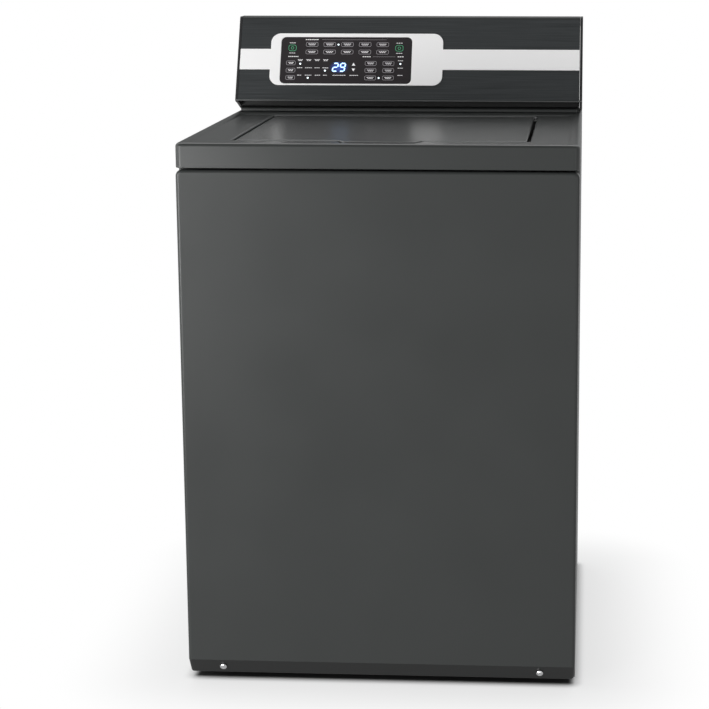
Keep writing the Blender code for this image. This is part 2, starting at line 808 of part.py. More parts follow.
def control_board():
    """The circuit board behind the touch panel, with its transformer, relays and sockets."""
    outline = rounded_box(-0.245, 0.010, 0.040, 0.120, 0.003, 2)
    board = plate("control_board", [outline], 0.0016, BOARD_GREEN)
    board = as_mesh(on_face(board, -0.012))
    blocks = [
        (-0.215, 0.080, 0.030, 0.034, 0.022),
        (-0.160, 0.095, 0.020, 0.016, 0.014),
        (-0.130, 0.095, 0.020, 0.016, 0.014),
        (-0.145, 0.060, 0.034, 0.010, 0.010),
        (-0.080, 0.085, 0.018, 0.018, 0.004),
        (-0.030, 0.055, 0.040, 0.008, 0.009),
    ]
    pieces = []
    for x, up, wide, tall, deep in blocks:
        outline = rounded_box(x - wide / 2, x + wide / 2, up - tall / 2, up + tall / 2, 0.001, 1)
        piece = plate("piece", [outline], deep, BOARD_GREEN)
        pieces.append(as_mesh(on_face(piece, -0.0125 - deep / 2)))
    return combine(board, pieces, "UNION")


# ---------------------------------------------------------------- water and cord entries
def water_valve():
    """The inlet valve: two threaded inlets, two solenoids, and one outlet spout."""
    body = block(
        "water_valve",
        (VALVE_X - 0.048, 0.650, VALVE_Z - 0.018),
        (VALVE_X + 0.048, 0.676, VALVE_Z + 0.018),
        WHITE_PLASTIC,
    )
    pieces = []
    for side in (-1, 1):
        x = VALVE_X + side * VALVE_PITCH / 2
        ends = [(x, FRONT + d, VALVE_Z) for d in (0.670, DEPTH)]
        pieces.append(rod("inlet", *ends, 0.0132, WHITE_PLASTIC, 12))
        ends = [(x, FRONT + 0.663, VALVE_Z + z) for z in (0.014, 0.046)]
        pieces.append(rod("solenoid", *ends, 0.0145, WHITE_PLASTIC, 12))
    spout = [(VALVE_X, FRONT + d, VALVE_Z) for d in (0.655, 0.632)]
    pieces.append(rod("spout", *spout, 0.0080, WHITE_PLASTIC, 12))
    body = combine(body, pieces, "UNION")
    bores = []
    for side in (-1, 1):
        x = VALVE_X + side * VALVE_PITCH / 2
        ends = [(x, FRONT + d, VALVE_Z) for d in (0.690, DEPTH + 0.01)]
        bores.append(rod("bore", *ends, 0.0100, WHITE_PLASTIC, 12))
    return smooth(combine(body, bores))


def fill_parts():
    """The fill nozzle behind the opening, and the hose that feeds it from the valve."""
    nozzle = block("fill_nozzle", (-0.026, 0.4745, 0.848), (0.026, 0.505, 0.866), GREY_PLASTIC)
    spigot = rod(
        "spigot", (0, FRONT + 0.500, 0.857), (0, FRONT + 0.530, 0.857), 0.0070, GREY_PLASTIC, 12
    )
    slot = block("slot", (-0.020, 0.470, 0.845), (0.020, 0.495, 0.856), GREY_PLASTIC)
    combine(combine(nozzle, [spigot], "UNION"), [slot])
    route = [
        (VALVE_X, FRONT + 0.6308, VALVE_Z),
        (VALVE_X, FRONT + 0.6180, VALVE_Z),
        (VALVE_X + 0.004, FRONT + 0.606, VALVE_Z + 0.012),
        (VALVE_X + 0.020, FRONT + 0.603, VALVE_Z + 0.040),
        (-0.040, FRONT + 0.592, 0.857),
        (-0.006, FRONT + 0.562, 0.857),
        (0, FRONT + 0.5315, 0.857),
    ]
    pipe("fill_hose", smooth_path(route), 0.0085, RUBBER)


def drain_parts():
    """The rear drain port, whose downward socket the drain hose slides in."""
    x, z = DRAIN_X, DRAIN_Z
    y_in = FRONT + 0.655
    elbow = rod("drain_port", (x, y_in, z), (x, FRONT + DEPTH, z), 0.0158, GREY_PLASTIC, 14)
    socket = rod("socket", (x, y_in, z - 0.075), (x, y_in, z + 0.012), 0.0158, GREY_PLASTIC, 14)
    elbow = combine(elbow, [socket], "UNION")
    through = rod("bore", (x, y_in, z), (x, FRONT + DEPTH + 0.01, z), 0.0125, GREY_PLASTIC, 12)
    up = rod("bore", (x, y_in, z - 0.09), (x, y_in, z + 0.008), 0.0128, GREY_PLASTIC, 12)
    smooth(combine(combine(elbow, [through]), [up]))
    pump_y = AXIS.y
    route = [
        (-PUMP_REACH, pump_y + 0.0612, 0.150),
        (-PUMP_REACH, pump_y + 0.085, 0.150),
        (-PUMP_REACH - 0.020, pump_y + 0.150, 0.155),
        (-0.225, FRONT + 0.560, 0.160),
        (-0.170, FRONT + 0.635, 0.165),
        (0.000, FRONT + 0.655, 0.175),
        (0.150, FRONT + 0.655, 0.200),
        (0.222, FRONT + 0.655, 0.270),
        (x, y_in, 0.400),
        (x, y_in, 0.550),
        (x, y_in, z - 0.040),
    ]
    pipe("drain_hose", smooth_path(route), 0.0115, RUBBER)


def cord_gland():
    """The gland that a mains cord would pass through, snapped into the back panel."""
    x, z = CORD_X, CORD_Z
    profile = [
        (0.0150, CABINET_BACK + 0.0075),
        (0.0150, CABINET_BACK + GAP),
        (0.0098, CABINET_BACK + GAP),
        (0.0098, CABINET_BACK - 0.010),
        (0.0050, CABINET_BACK - 0.010),
        (0.0050, CABINET_BACK + 0.0075),
    ]
    gland = turned("cord_gland", profile, BLACK_PLASTIC, centre=(0, 0, 0), steps=20)
    gland.matrix_world = Matrix(((1, 0, 0, x), (0, 0, 1, FRONT), (0, -1, 0, z), (0, 0, 0, 1)))
    return smooth(gland)


# ---------------------------------------------------------------- suspended tub
def corners():
    """The four rods' places, with their names."""
    for side, x in (("left", -ROD_REACH), ("right", ROD_REACH)):
        for end, y in (("front", AXIS.y - ROD_REACH), ("rear", AXIS.y + ROD_REACH)):
            yield f"{end}_{side}", x, y


def support_frame():
    """The plate under the tub: a disc, four arms to the rods, and ledges for motor and pump."""
    low, high = FRAME_Z, FRAME_Z + FRAME_THICK
    disc = turned(
        "support_frame",
        [(0, high + 0.0005), (0.125, high + 0.0005), (0.125, low - 0.0005), (0, low - 0.0005)],
        GALVANISED,
        steps=24,
        closed=False,
    )
    reach = ROD_REACH * math.sqrt(2)
    pieces = []
    for turn in (45, 135):
        outline = arc((reach, 0), 0.026, -90, 90, 4) + arc((-reach, 0), 0.026, 90, 270, 4)
        arm = plate("arm", [outline], FRAME_THICK, GALVANISED)
        arm.location = (0, AXIS.y, (low + high) / 2)
        arm.rotation_euler = (0, 0, math.radians(turn))
        pieces.append(as_mesh(arm))
    for reach, turn, width in ((MOTOR_REACH, 90, 0.050), (PUMP_REACH, 180, 0.036)):
        outline = arc((reach, 0), width, -90, 90, 6) + [(0, width), (0, -width)]
        ledge = plate("ledge", [outline], FRAME_THICK - 0.001, GALVANISED)
        ledge.location = (0, AXIS.y, (low + high) / 2)
        ledge.rotation_euler = (0, 0, math.radians(turn))
        pieces.append(as_mesh(ledge))
    frame = combine(as_mesh(disc), pieces, "UNION")

    def hole(x, y, radius):
        return rod("hole", (x, y, low - 0.02), (x, y, high + 0.02), radius, GALVANISED, 12)

    holes = [hole(x, y, 0.0068) for _, x, y in corners()]
    holes.append(hole(0, AXIS.y, 0.0415))
    holes.append(hole(-PUMP_REACH, AXIS.y, 0.0225))
    return smooth(combine(frame, holes))


def suspension():
    """Four rods hung from the braces, each with a cup that carries a coil spring."""
    for name, x, y in corners():
        top = BRACE_Z + GAP
        profile = [
            (0, top + 0.012),
            (0.006, top + 0.011),
            (0.0105, top + 0.006),
            (0.0115, top),
            (ROD_RADIUS, top),
            (ROD_RADIUS, CUP_TOP),
            (0.0185, CUP_TOP),
            (0.0185, CUP_TOP - 0.009),
            (0.010, CUP_TOP - 0.014),
            (0, CUP_TOP - 0.014),
        ]
        hanger = turned(
            f"suspension_rod_{name}", profile, GALVANISED, (x, y, 0), steps=10, closed=False
        )
        smooth(hanger)
        turns, per_turn, wire, coil = 4, 8, 0.0022, 0.0145
        low, high = CUP_TOP + GAP + wire, FRAME_Z - GAP - wire
        points = []
        for i in range(turns * per_turn + 1):
            angle = 2 * math.pi * i / per_turn
            height = low + (high - low) * i / (turns * per_turn)
            points.append((x + coil * math.cos(angle), y + coil * math.sin(angle), height))
        pipe(f"suspension_spring_{name}", points, wire, BRIGHT_STEEL, resolution=0)


def outer_tub():
    """The water tub, with a drain port in its floor over the pump."""
    r, wall, low, rim = TUB_RADIUS, TUB_WALL, TUB_FLOOR, TUB_RIM
    profile = [
        (r, rim),
        (r - 0.009, low + 0.030),
        (r - 0.017, low + 0.010),
        (r - 0.034, low),
        (0.075, low),
        (0.043, low + 0.008),
        (0.043, low + 0.008 + wall),
        (0.075, low + wall),
        (r - 0.034, low + wall),
        (r - 0.019, low + 0.0125),
        (r - 0.009 - wall, low + 0.032),
        (r - wall, rim),
    ]
    tub = as_mesh(turned("outer_tub", profile, WHITE_PLASTIC))
    x, y = -PUMP_REACH, AXIS.y
    port = rod("port", (x, y, low - 0.012), (x, y, low + 0.002), 0.0180, WHITE_PLASTIC, 12)
    bore = rod("bore", (x, y, low - 0.020), (x, y, low + 0.010), 0.0140, WHITE_PLASTIC, 12)
    return smooth(combine(combine(tub, [port], "UNION"), [bore]))


def tub_cover():
    """The splash ring clipped on the tub's rim, with a lip inside the balance ring."""
    r, z = TUB_RADIUS, TUB_RIM + GAP
    profile = [
        (r + 0.0050, z + 0.007),
        (r + 0.0050, z - 0.012),
        (r + 0.0006, z - 0.012),
        (r + 0.0006, z),
        (0.2175, z + 0.003),
        (0.2175, z - 0.020),
        (0.2155, z - 0.020),
        (0.2145, z + 0.007),
        (0.2300, z + 0.0095),
        (r - 0.010, z + 0.0095),
    ]
    return smooth(turned("tub_cover", profile, WHITE_PLASTIC))


def bearing_housing():
    """The cast hub of the tub: a flange on the frame and a bore for two bearings."""
    top = FRAME_Z + FRAME_THICK + 0.0005 + GAP
    profile = [
        (0.0400, TUB_FLOOR + 0.018),
        (0.0400, top + 0.008),
        (0.0700, top + 0.007),
        (0.0700, top),
        (0.0400, top),
        (0.0330, 0.150),
        (0.0330, 0.124),
        (BEARING_OUTER + GAP, 0.124),
        (BEARING_OUTER + GAP, 0.146),
        (0.0220, 0.146),
        (0.0220, 0.2055),
        (BEARING_OUTER + GAP, 0.2055),
        (BEARING_OUTER + GAP, TUB_FLOOR + 0.018),
    ]
    return smooth(turned("bearing_housing", profile, CAST_ALUMINIUM, steps=20))


def bearing_set():
    """Two closed ball bearings with the spacer sleeve between their inner races."""
    inner, outer, sleeve = SPIN_TUBE + GAP, BEARING_OUTER, SPIN_TUBE + 0.003
    profile = []
    for low in (0.2065, 0.1300):
        profile += [(outer, low + 0.015), (outer, low), (sleeve, low), (sleeve, 0.145)]
    profile = [*profile[:-1], (inner, 0.1300), (inner, 0.2215)]
    return smooth(turned("bearing_set", profile, BRIGHT_STEEL, steps=20))


def motor():
    """The motor under the rear ledge, and its shaft with the small pulley."""
    centre = (0, AXIS.y + MOTOR_REACH, 0)
    high = FRAME_Z - GAP
    body = [
        (0, high - 0.0002),
        (0.040, high - 0.0002),
        (0.043, high - 0.008),
        (0.060, high - 0.012),
        (0.064, high - 0.018),
        (0.064, 0.136),
        (0.060, 0.130),
        (0.024, 0.126),
        (0.022, 0.1215),
        (0.0065, 0.1215),
        (0.0065, 0.160),
        (0, 0.160),
    ]
    smooth(turned("motor", body, GALVANISED, centre, steps=20, closed=False))
    groove, rim = MOTOR_PULLEY_RADIUS, MOTOR_PULLEY_RADIUS + BELT_THICK + 0.001
    low, top = PULLEY_Z - BELT_HALF_HEIGHT - 0.001, PULLEY_Z + BELT_HALF_HEIGHT + 0.001
    pulley = [
        (0, 0.158),
        (0.0058, 0.158),
        (0.0058, top + 0.003),
        (rim, top + 0.003),
        (rim, top),
        (groove - GAP, top),
        (groove - GAP, low),
        (rim, low),
        (rim, low - 0.003),
        (0, low - 0.003),
    ]
    smooth(turned("motor_pulley", pulley, BRIGHT_STEEL, centre, steps=16, closed=False))


def drain_pump():
    """The pump under the left ledge: its housing, its impeller, and the hose from the tub."""
    x, y = -PUMP_REACH, AXIS.y
    centre = (x, y, 0)
    profile = [
        (0.0170, 0.1930),
        (0.0170, 0.1700),
        (0.0440, 0.1680),
        (0.0440, 0.1340),
        (0.0300, 0.1320),
        (0.0300, 0.1020),
        (0.0270, 0.1000),
        (0.0045, 0.1000),
        (0.0045, 0.1365),
        (0.0410, 0.1365),
        (0.0410, 0.1655),
        (0.0140, 0.1675),
        (0.0140, 0.1930),
    ]
    housing = as_mesh(turned("pump_housing", profile, GREY_PLASTIC, centre, steps=16))
    outlet = rod("outlet", (x, y + 0.038, 0.150), (x, y + 0.060, 0.150), 0.0105, GREY_PLASTIC, 10)
    bore = rod("bore", (x, y + 0.030, 0.150), (x, y + 0.070, 0.150), 0.0085, GREY_PLASTIC, 10)
    smooth(combine(combine(housing, [outlet], "UNION"), [bore]))
    hub = [(0, 0.160), (0.008, 0.160), (0.0095, 0.142), (0.032, 0.1405), (0.032, 0.1380)]
    hub += [(0.0040, 0.1380), (0.0040, 0.104), (0, 0.104)]
    impeller = as_mesh(turned("pump_impeller", hub, GREY_PLASTIC, centre, steps=12, closed=False))
    blades = []
    for turn in (0, 60, 120):
        outline = rounded_box(-0.030, 0.030, -0.001, 0.001, 0.0005, 1)
        blade = plate("blade", [outline], 0.017, GREY_PLASTIC)
        blade.location = (x, y, 0.1485)
        blade.rotation_euler = (0, 0, math.radians(turn))
        blades.append(as_mesh(blade))
    smooth(combine(impeller, blades, "UNION"))
    boot = [
        (0.0215, 0.2125),
        (0.0215, 0.2030),
        (0.0200, 0.1990),
        (0.0215, 0.1950),
        (0.0215, 0.1780),
        (0.0173, 0.1780),
        (0.0173, 0.1945),
        (0.0184, 0.2000),
        (0.0184, 0.2125),
    ]
    smooth(turned("sump_hose", boot, RUBBER, centre, steps=16))


def belt_loop(grow):
    """The outline of a belt round both pulleys, this far outside their grooves."""
    big, small, reach = PULLEY_RADIUS + grow, MOTOR_PULLEY_RADIUS + grow, MOTOR_REACH
    lean = math.degrees(math.acos((big - small) / reach))
    return arc((0, 0), big, 90 + lean, 450 - lean, 28) + arc(
        (0, reach), small, 90 - lean, 90 + lean, 10
    )


def drive_belt():
    """The ribbed belt between the motor's pulley and the basket's."""
    belt = plate(
        "drive_belt", [belt_loop(GAP + BELT_THICK), belt_loop(GAP)], 2 * BELT_HALF_HEIGHT, RUBBER
    )
    belt.location = (0, AXIS.y, PULLEY_Z)
    return belt


# ---------------------------------------------------------------- basket and agitator
def wash_basket():
    """The stainless basket: rolled floor corner and a dished floor round the hub."""
    r, wall, low, rim = BASKET_RADIUS, BASKET_WALL, BASKET_FLOOR, BASKET_RIM
    corner = 0.028
    profile = (
        [(r, rim)]
        + arc((r - corner, low + corner), corner, 0, -90, 3)
        + [(0.032, low), (0.032, low + wall)]
        + arc((r - corner, low + corner), corner - wall, -90, 0, 3)
        + [(r - wall, rim)]
    )
    return smooth(turned("wash_basket", profile, STAINLESS))


def balance_ring():
    """The liquid filled plastic ring on the basket's rim."""
    r, low, high = BASKET_RADIUS, BASKET_RIM + GAP, RING_TOP
    profile = [
        (r + 0.001, high - 0.004),
        (r + 0.004, high - 0.012),
        (r + 0.004, low),
        (r - 0.018, low),
        (r - 0.034, low - 0.012),
        (r - 0.038, low - 0.004),
        (r - 0.038, high - 0.006),
        (r - 0.034, high),
        (r - 0.004, high),
    ]
    return smooth(turned("balance_ring", profile, GREY_PLASTIC))


def basket_hub():
    """The hub plate under the basket, on the hollow spin tube that carries the pulley."""
    high = BASKET_FLOOR - GAP
    profile = [
        (0.028, high + 0.012),
        (0.028, high),
        (0.100, high),
        (0.105, high - 0.004),
        (0.105, high - 0.009),
        (0.040, high - 0.016),
        (SPIN_TUBE, high - 0.022),
        (SPIN_TUBE, 0.099),
        (SHAFT_RADIUS + 0.0005, 0.099),
        (SHAFT_RADIUS + 0.0005, high + 0.012),
    ]
    return smooth(turned("basket_hub", profile, CAST_ALUMINIUM, steps=20))


def drive_pulley():
    """The large pulley on the spin tube."""
    groove, rim = PULLEY_RADIUS - GAP, PULLEY_RADIUS + BELT_THICK + 0.002
    reach, web = BELT_HALF_HEIGHT + 0.001, 0.002
    profile = [
        (rim, PULLEY_Z + reach + 0.002),
        (rim, PULLEY_Z + reach),
        (groove, PULLEY_Z + reach),
        (groove, PULLEY_Z - reach),
        (rim, PULLEY_Z - reach),
        (rim, PULLEY_Z - reach - 0.002),
        (groove - 0.006, PULLEY_Z - reach - 0.002),
        (groove - 0.006, PULLEY_Z - web),
        (0.028, PULLEY_Z - web),
        (0.028, PULLEY_Z - 0.0085),
        (SPIN_TUBE + GAP, PULLEY_Z - 0.0085),
        (SPIN_TUBE + GAP, PULLEY_Z + 0.011),
        (0.028, PULLEY_Z + 0.011),
        (0.028, PULLEY_Z + web),
        (groove - 0.006, PULLEY_Z + web),
        (groove - 0.006, PULLEY_Z + reach + 0.002),
    ]
    return smooth(turned("drive_pulley", profile, CAST_ALUMINIUM, steps=24))


def agitator():
    """A hollow post that flares to a skirt, with four fins and a socket for its shaft."""
    low = BASKET_FLOOR + BASKET_WALL + 0.012
    profile = [
        (0, 0.585),
        (0.0410, 0.585),
        (0.0410, 0.662),
        (0.0470, 0.662),
        (0.0500, 0.600),
        (0.0540, 0.480),
        (0.0640, 0.400),
        (0.0860, 0.345),
        (0.1250, 0.308),
        (0.1700, low + 0.012),
        (0.1740, low + 0.004),
        (0.1720, low),
        (0.1200, low + 0.018),
        (0.0800, 0.332),
        (0.0580, 0.395),
        (0.0480, 0.480),
        (0.0440, 0.575),
        (0.0160, 0.575),
        (0.0160, 0.300),
        (SHAFT_RADIUS + 0.0006, 0.300),
        (SHAFT_RADIUS + 0.0006, 0.560),
        (0, 0.560),
    ]
    post = as_mesh(turned("agitator", profile, WHITE_PLASTIC, steps=24, closed=False))
    fins = []
    for turn in (0, 90, 180, 270):
        outline = (
            [(0.0500, 0.560), (0.0500, 0.395), (0.0700, 0.355), (0.1200, 0.300), (0.1600, 0.286)]
            + arc((0.1520, 0.3100), 0.016, -60, 60, 4)
            + [(0.1150, 0.390), (0.0850, 0.470), (0.0640, 0.550)]
        )
        fin = plate("fin", [outline], 0.005, WHITE_PLASTIC)
        fin.matrix_world = (
            Matrix.Translation(AXIS)
            @ Matrix.Rotation(math.radians(turn), 4, "Z")
            @ Matrix(((1, 0, 0, 0), (0, 0, 1, 0), (0, 1, 0, 0), (0, 0, 0, 1)))
        )
        fins.append(as_mesh(fin))
    return smooth(combine(post, fins, "UNION"))


def drive_shaft():
    """The agitator's shaft, inside the spin tube from below the pulley to the post."""
    ends = [(0, AXIS.y, z) for z in (0.091, 0.556)]
    return rod("drive_shaft", *ends, SHAFT_RADIUS, BRIGHT_STEEL, 20)


def softener_dispenser():
    """The cup in the agitator's head, which lifts out."""
    profile = [
        (0, 0.5890),
        (0.0355, 0.5890),
        (0.0375, 0.6640),
        (0.0300, 0.6900),
        (0.0300, 0.6930),
        (0.0340, 0.6930),
        (0.0480, 0.6700),
        (0.0500, 0.6645),
        (0.0500, 0.6625),
        (0.0395, 0.6625),
        (0.0375, 0.5870),
        (0, 0.5870),
    ]
    return smooth(turned("softener_dispenser", profile, GREY_PLASTIC, steps=20, closed=False))


def build():
    """Makes every piece."""
    clear_scene()
    base_frame()
    leveling_legs()
    cabinet_wrap()
    rear_cover()
    front_panel()
    toe_screws()
    top_panel()
    top_braces()
    lid_shell()
    lid_lining()
    lid_pins()
    lid_lock()
    bleach_cup()
    console_housing()
    console_end_caps()
    console_back_cover()
    face_plates()
    control_board()
    water_valve()
    fill_parts()
    drain_parts()
    cord_gland()
    support_frame()
    suspension()
    outer_tub()
    tub_cover()
    bearing_housing()
    bearing_set()
    motor()
    drain_pump()
    drive_belt()
    wash_basket()
    balance_ring()
    basket_hub()
    drive_pulley()
    agitator()
    drive_shaft()
    softener_dispenser()


build()
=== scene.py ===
"""The looks of a top load washing machine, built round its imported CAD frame.

Metres, +Z up. The front faces -Y, and a depth is a distance behind the front face.
"""

import json
from math import atan2, cos, degrees, pi, radians, sin, sqrt

import bmesh
import bpy
from mathutils import Matrix, Vector


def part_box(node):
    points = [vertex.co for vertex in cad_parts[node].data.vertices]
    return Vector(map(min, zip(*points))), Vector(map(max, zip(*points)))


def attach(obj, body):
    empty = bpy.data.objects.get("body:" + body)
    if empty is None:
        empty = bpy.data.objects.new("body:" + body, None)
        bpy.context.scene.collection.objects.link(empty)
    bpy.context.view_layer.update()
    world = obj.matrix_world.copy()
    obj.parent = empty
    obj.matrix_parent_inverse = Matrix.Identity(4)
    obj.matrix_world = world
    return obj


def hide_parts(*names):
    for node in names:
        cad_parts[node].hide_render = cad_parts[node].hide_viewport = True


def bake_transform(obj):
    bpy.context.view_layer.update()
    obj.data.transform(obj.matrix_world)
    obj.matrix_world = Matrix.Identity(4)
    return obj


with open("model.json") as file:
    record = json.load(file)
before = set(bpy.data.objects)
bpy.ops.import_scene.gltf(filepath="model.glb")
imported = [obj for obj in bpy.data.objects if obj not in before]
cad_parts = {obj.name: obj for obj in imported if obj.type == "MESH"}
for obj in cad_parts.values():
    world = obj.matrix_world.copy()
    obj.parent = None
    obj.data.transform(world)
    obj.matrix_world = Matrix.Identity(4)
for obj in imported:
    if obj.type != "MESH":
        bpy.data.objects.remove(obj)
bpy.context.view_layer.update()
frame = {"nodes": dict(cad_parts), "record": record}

# ---- places taken from the frame
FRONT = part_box("front_panel")[0].y
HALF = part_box("top_panel")[1].x
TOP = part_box("top_panel")[1].z
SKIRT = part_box("front_panel")[1].z + 0.003
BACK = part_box("cabinet_wrap")[1].y
TUB_LOW, TUB_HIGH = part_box("outer_tub")
AXIS = Vector((0, (TUB_LOW.y + TUB_HIGH.y) / 2, 0))
BASKET_LOW, BASKET_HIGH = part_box("wash_basket")
BACK_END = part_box("water_valve")[1].y
GAP = 0.0004
SHEET = 0.0012

# ---- sizes of the finer pieces
EDGE_ROLL = 0.0055
PANEL_CORNER = 0.010
PANEL_WRAP = 0.030
TOE_Z = 0.041
TOE_DEPTH = 0.011
TOE_CORNER = 0.0015  # how much further back the toe goes at the corners
TOE_TAPER = 0.0025
FOOT_CORNER = 0.0035
LID_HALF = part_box("lid_outer")[1].x
LID_FRONT = 0.066
LID_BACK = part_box("lid_outer")[1].y - FRONT
LID_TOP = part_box("lid_outer")[1].z
LID_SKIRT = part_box("lid_outer")[0].z
TAB_HALF = 0.054
TAB_REACH = 0.022
TAB_SLOPE = 0.0145
LID_SIDE_GAP = 0.006
POCKET_FRONT = 0.0645
POCKET_BACK = 0.509
POCKET_FLOOR = 0.888
WELL_Z = 0.9125
WELL_BACK = 0.520
OPENING_HALF = 0.222
OPENING_FRONT = 0.084
OPENING_BACK = 0.470
FACE_LOW = Vector((0.562, 0.936))  # (depth, z)
FACE_HIGH = Vector((0.636, 1.0852))
FACE_UP = (FACE_HIGH - FACE_LOW).normalized()
FACE_OUT = Vector((-FACE_UP.y, FACE_UP.x))
TOP_ROUNDING = 0.005
CONSOLE_BACK = 0.6875
CONSOLE_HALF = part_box("console_housing")[1].x
TRIM_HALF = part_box("console_trim_band")[1].x
TRIM_BAR = (0.061, 0.1022)  # distances up the face
TRIM_PLATE = (-0.2625, 0.0635, 0.0294, 0.1340)  # left, right, low, high
TOUCH = (-0.2430, 0.0050, 0.0323, 0.1268)
FASCIA_THICK = 0.001
TRIM_THICK = 0.0020
TRIM_MIDDLE = 2 * GAP + FASCIA_THICK + TRIM_THICK / 2  # above the face, as the next one is
PRINT_HEIGHT = 2 * GAP + FASCIA_THICK + TRIM_THICK - 0.0001
FOOT_HALF = 0.316
FOOT_DEPTH = 0.570
INLET_X = (-0.160, -0.100)
INLET_Z = 0.800
DRAIN_PLACE = (0.235, 0.780)


# ---- shader nodes
class Tree:
    """Short ways to add and link the nodes of one node tree."""

    def __init__(self, tree):
        self.tree = tree

    def add(self, kind, settings=(), **inputs):
        """A node of a kind, with attributes from settings and sockets from inputs."""
        node = self.tree.nodes.new("ShaderNode" + kind)
        for name, value in dict(settings).items():
            setattr(node, name, value)
        for name, value in inputs.items():
            node.inputs[name.replace("_", " ")].default_value = value
        return node

    def link(self, start, end):
        self.tree.links.new(start, end)

    def coords(self, kind="Object"):
        return self.add("TexCoord").outputs[kind]

    def ramp(self, value, start, end, low, high, smooth=True):
        """value taken from start..end to low..high."""
        node = self.add("MapRange", From_Min=start, From_Max=end, To_Min=low, To_Max=high)
        if smooth:
            node.interpolation_type = "SMOOTHSTEP"
        self.link(value, node.inputs["Value"])
        return node.outputs["Result"]

    def times(self, one, other):
        node = self.add("Math", {"operation": "MULTIPLY"})
        self.link(one, node.inputs[0])
        self.link(other, node.inputs[1])
        return node.outputs[0]

    def vector(self, operation, value, other=(0, 0, 0)):
        """A vector operation on value; LENGTH and DOT_PRODUCT give a number."""
        node = self.add("VectorMath", {"operation": operation})
        node.inputs[1].default_value = other
        self.link(value, node.inputs[0])
        return node.outputs["Value" if operation in ("LENGTH", "DOT_PRODUCT") else "Vector"]

    def mix_shaders(self, factor, first, second):
        node = self.add("MixShader")
        self.link(factor, node.inputs["Fac"])
        self.link(first, node.inputs[1])
        self.link(second, node.inputs[2])
        return node.outputs[0]


# ---- camera, light and floor
def make_camera():
    """A long lens a little above the lid, right of the middle, as the machine was seen."""
    data = bpy.data.cameras.new("camera")
    data.lens = 101.3
    data.sensor_width = 36.0
    data.shift_x = -0.165
    data.shift_y = -0.06
    data.clip_end = 100.0
    camera = bpy.data.objects.new("camera", data)
    camera.location = (0.3403, FRONT - 3.1626, 1.2502)
    camera.rotation_euler = (pi / 2 - 0.1893, 0, 0.0592)
    bpy.context.scene.collection.objects.link(camera)
    bpy.context.scene.camera = camera


def softbox(name, place, target, size, power, colour=(1, 1, 1)):
    """A rectangular area light that faces a point."""
    data = bpy.data.lights.new(name, "AREA")
    data.shape = "RECTANGLE"
    data.size, data.size_y = size
    data.energy = power
    data.color = colour
    light = bpy.data.objects.new(name, data)
    light.location = place
    aim = Vector(target) - Vector(place)
    light.rotation_euler = aim.to_track_quat("-Z", "Y").to_euler()
    light.visible_camera = False
    bpy.context.scene.collection.objects.link(light)


def make_world():
    """A white studio, dark above the front and low behind the machine."""
    world = bpy.data.worlds.new("studio")
    world.use_nodes = True
    world.node_tree.nodes.clear()
    tree = Tree(world.node_tree)
    coords = tree.coords("Generated")
    parts = tree.add("SeparateXYZ")
    tree.link(coords, parts.inputs[0])

    def patch(direction, start, end, low):
        """1 away from a direction, and low close to it."""
        return tree.ramp(tree.vector("DOT_PRODUCT", coords, direction), start, end, 1.0, low)

    above_front = patch((0, -0.454, 0.891), 0.66, 0.92, 0.22)
    behind = patch((-0.17, 0.98, 0.09), 0.86, 0.97, 0.16)
    sides = tree.times(
        tree.ramp(parts.outputs["Y"], 0.0, 0.8, 0.72, 1.05),
        tree.ramp(parts.outputs["X"], 0.0, 0.9, 1.0, 0.56),
    )
    lighting = tree.add("Background", Color=(0.98, 1.0, 1.0, 1))
    tree.link(tree.times(tree.times(above_front, behind), sides), lighting.inputs["Strength"])
    backdrop = tree.add("Background", Color=(1, 1, 1, 1))
    seen = tree.add("LightPath").outputs["Is Camera Ray"]
    surface = tree.mix_shaders(seen, lighting.outputs[0], backdrop.outputs[0])
    tree.link(surface, tree.add("OutputWorld").inputs["Surface"])
    bpy.context.scene.world = world
    bpy.context.scene.view_settings.view_transform = "Standard"


def make_lights():
    softbox("key_left", (-2.05, -3.0, 0.60), (0, 0, 0.5), (1.6, 1.4), 92)
    softbox("side_left", (-2.8, -0.9, 1.3), (0, 0, 0.5), (1.2, 2.0), 16)
    softbox("strip_right", (2.5, -2.9, 1.1), (HALF, FRONT, 0.5), (0.22, 2.2), 9)
    softbox("overhead", (0.0, 0.9, 3.2), (0, 0, 0.6), (2.4, 1.6), 12)


def make_floor():
    """A white floor that glows, but for the machine's footprint, painted near black as its shadow,
    and a soft painted shadow round it.
    """
    bpy.ops.mesh.primitive_plane_add(size=60, location=(0, 0, 0))
    floor = bpy.context.object
    floor.name = "floor"
    material = bpy.data.materials.new("floor")
    material.use_nodes = True
    tree = Tree(material.node_tree)
    shader = material.node_tree.nodes["Principled BSDF"]
    shader.inputs["Roughness"].default_value = 0.5
    glow = tree.add("Emission", Color=(1, 1, 1, 1))
    seen = tree.add("LightPath").outputs["Is Camera Ray"]
    footprint = (HALF - 0.012, -FRONT - 0.037, 1.0)
    outside = tree.vector("SUBTRACT", tree.vector("ABSOLUTE", tree.coords()), footprint)
    distance = tree.vector("LENGTH", tree.vector("MAXIMUM", outside))
    # painted shadow: the glow gives way near the footprint and is dimmed within 0.26 m of it
    painted_shadow_fade = tree.times(
        tree.ramp(distance, 0.004, 0.030, 0.0, 1.0), tree.ramp(distance, 0.0, 0.26, 0.66, 1.0)
    )
    # painted shadow: the base colour is near black within the footprint
    tree.link(tree.ramp(distance, 0.0, 0.014, 0.02, 0.86), shader.inputs["Base Color"])
    tree.link(tree.ramp(seen, 0.0, 1.0, 0.55, 1.0), glow.inputs["Strength"])
    surface = tree.mix_shaders(painted_shadow_fade, shader.outputs[0], glow.outputs[0])
    tree.link(surface, material.node_tree.nodes["Material Output"].inputs["Surface"])
    floor.data.materials.append(material)


# ---- materials
COAT_ROUGHNESS = 0.27
NOISE_SPAN = (0.3, 0.7)  # the part of a noise's range that its values mostly fill


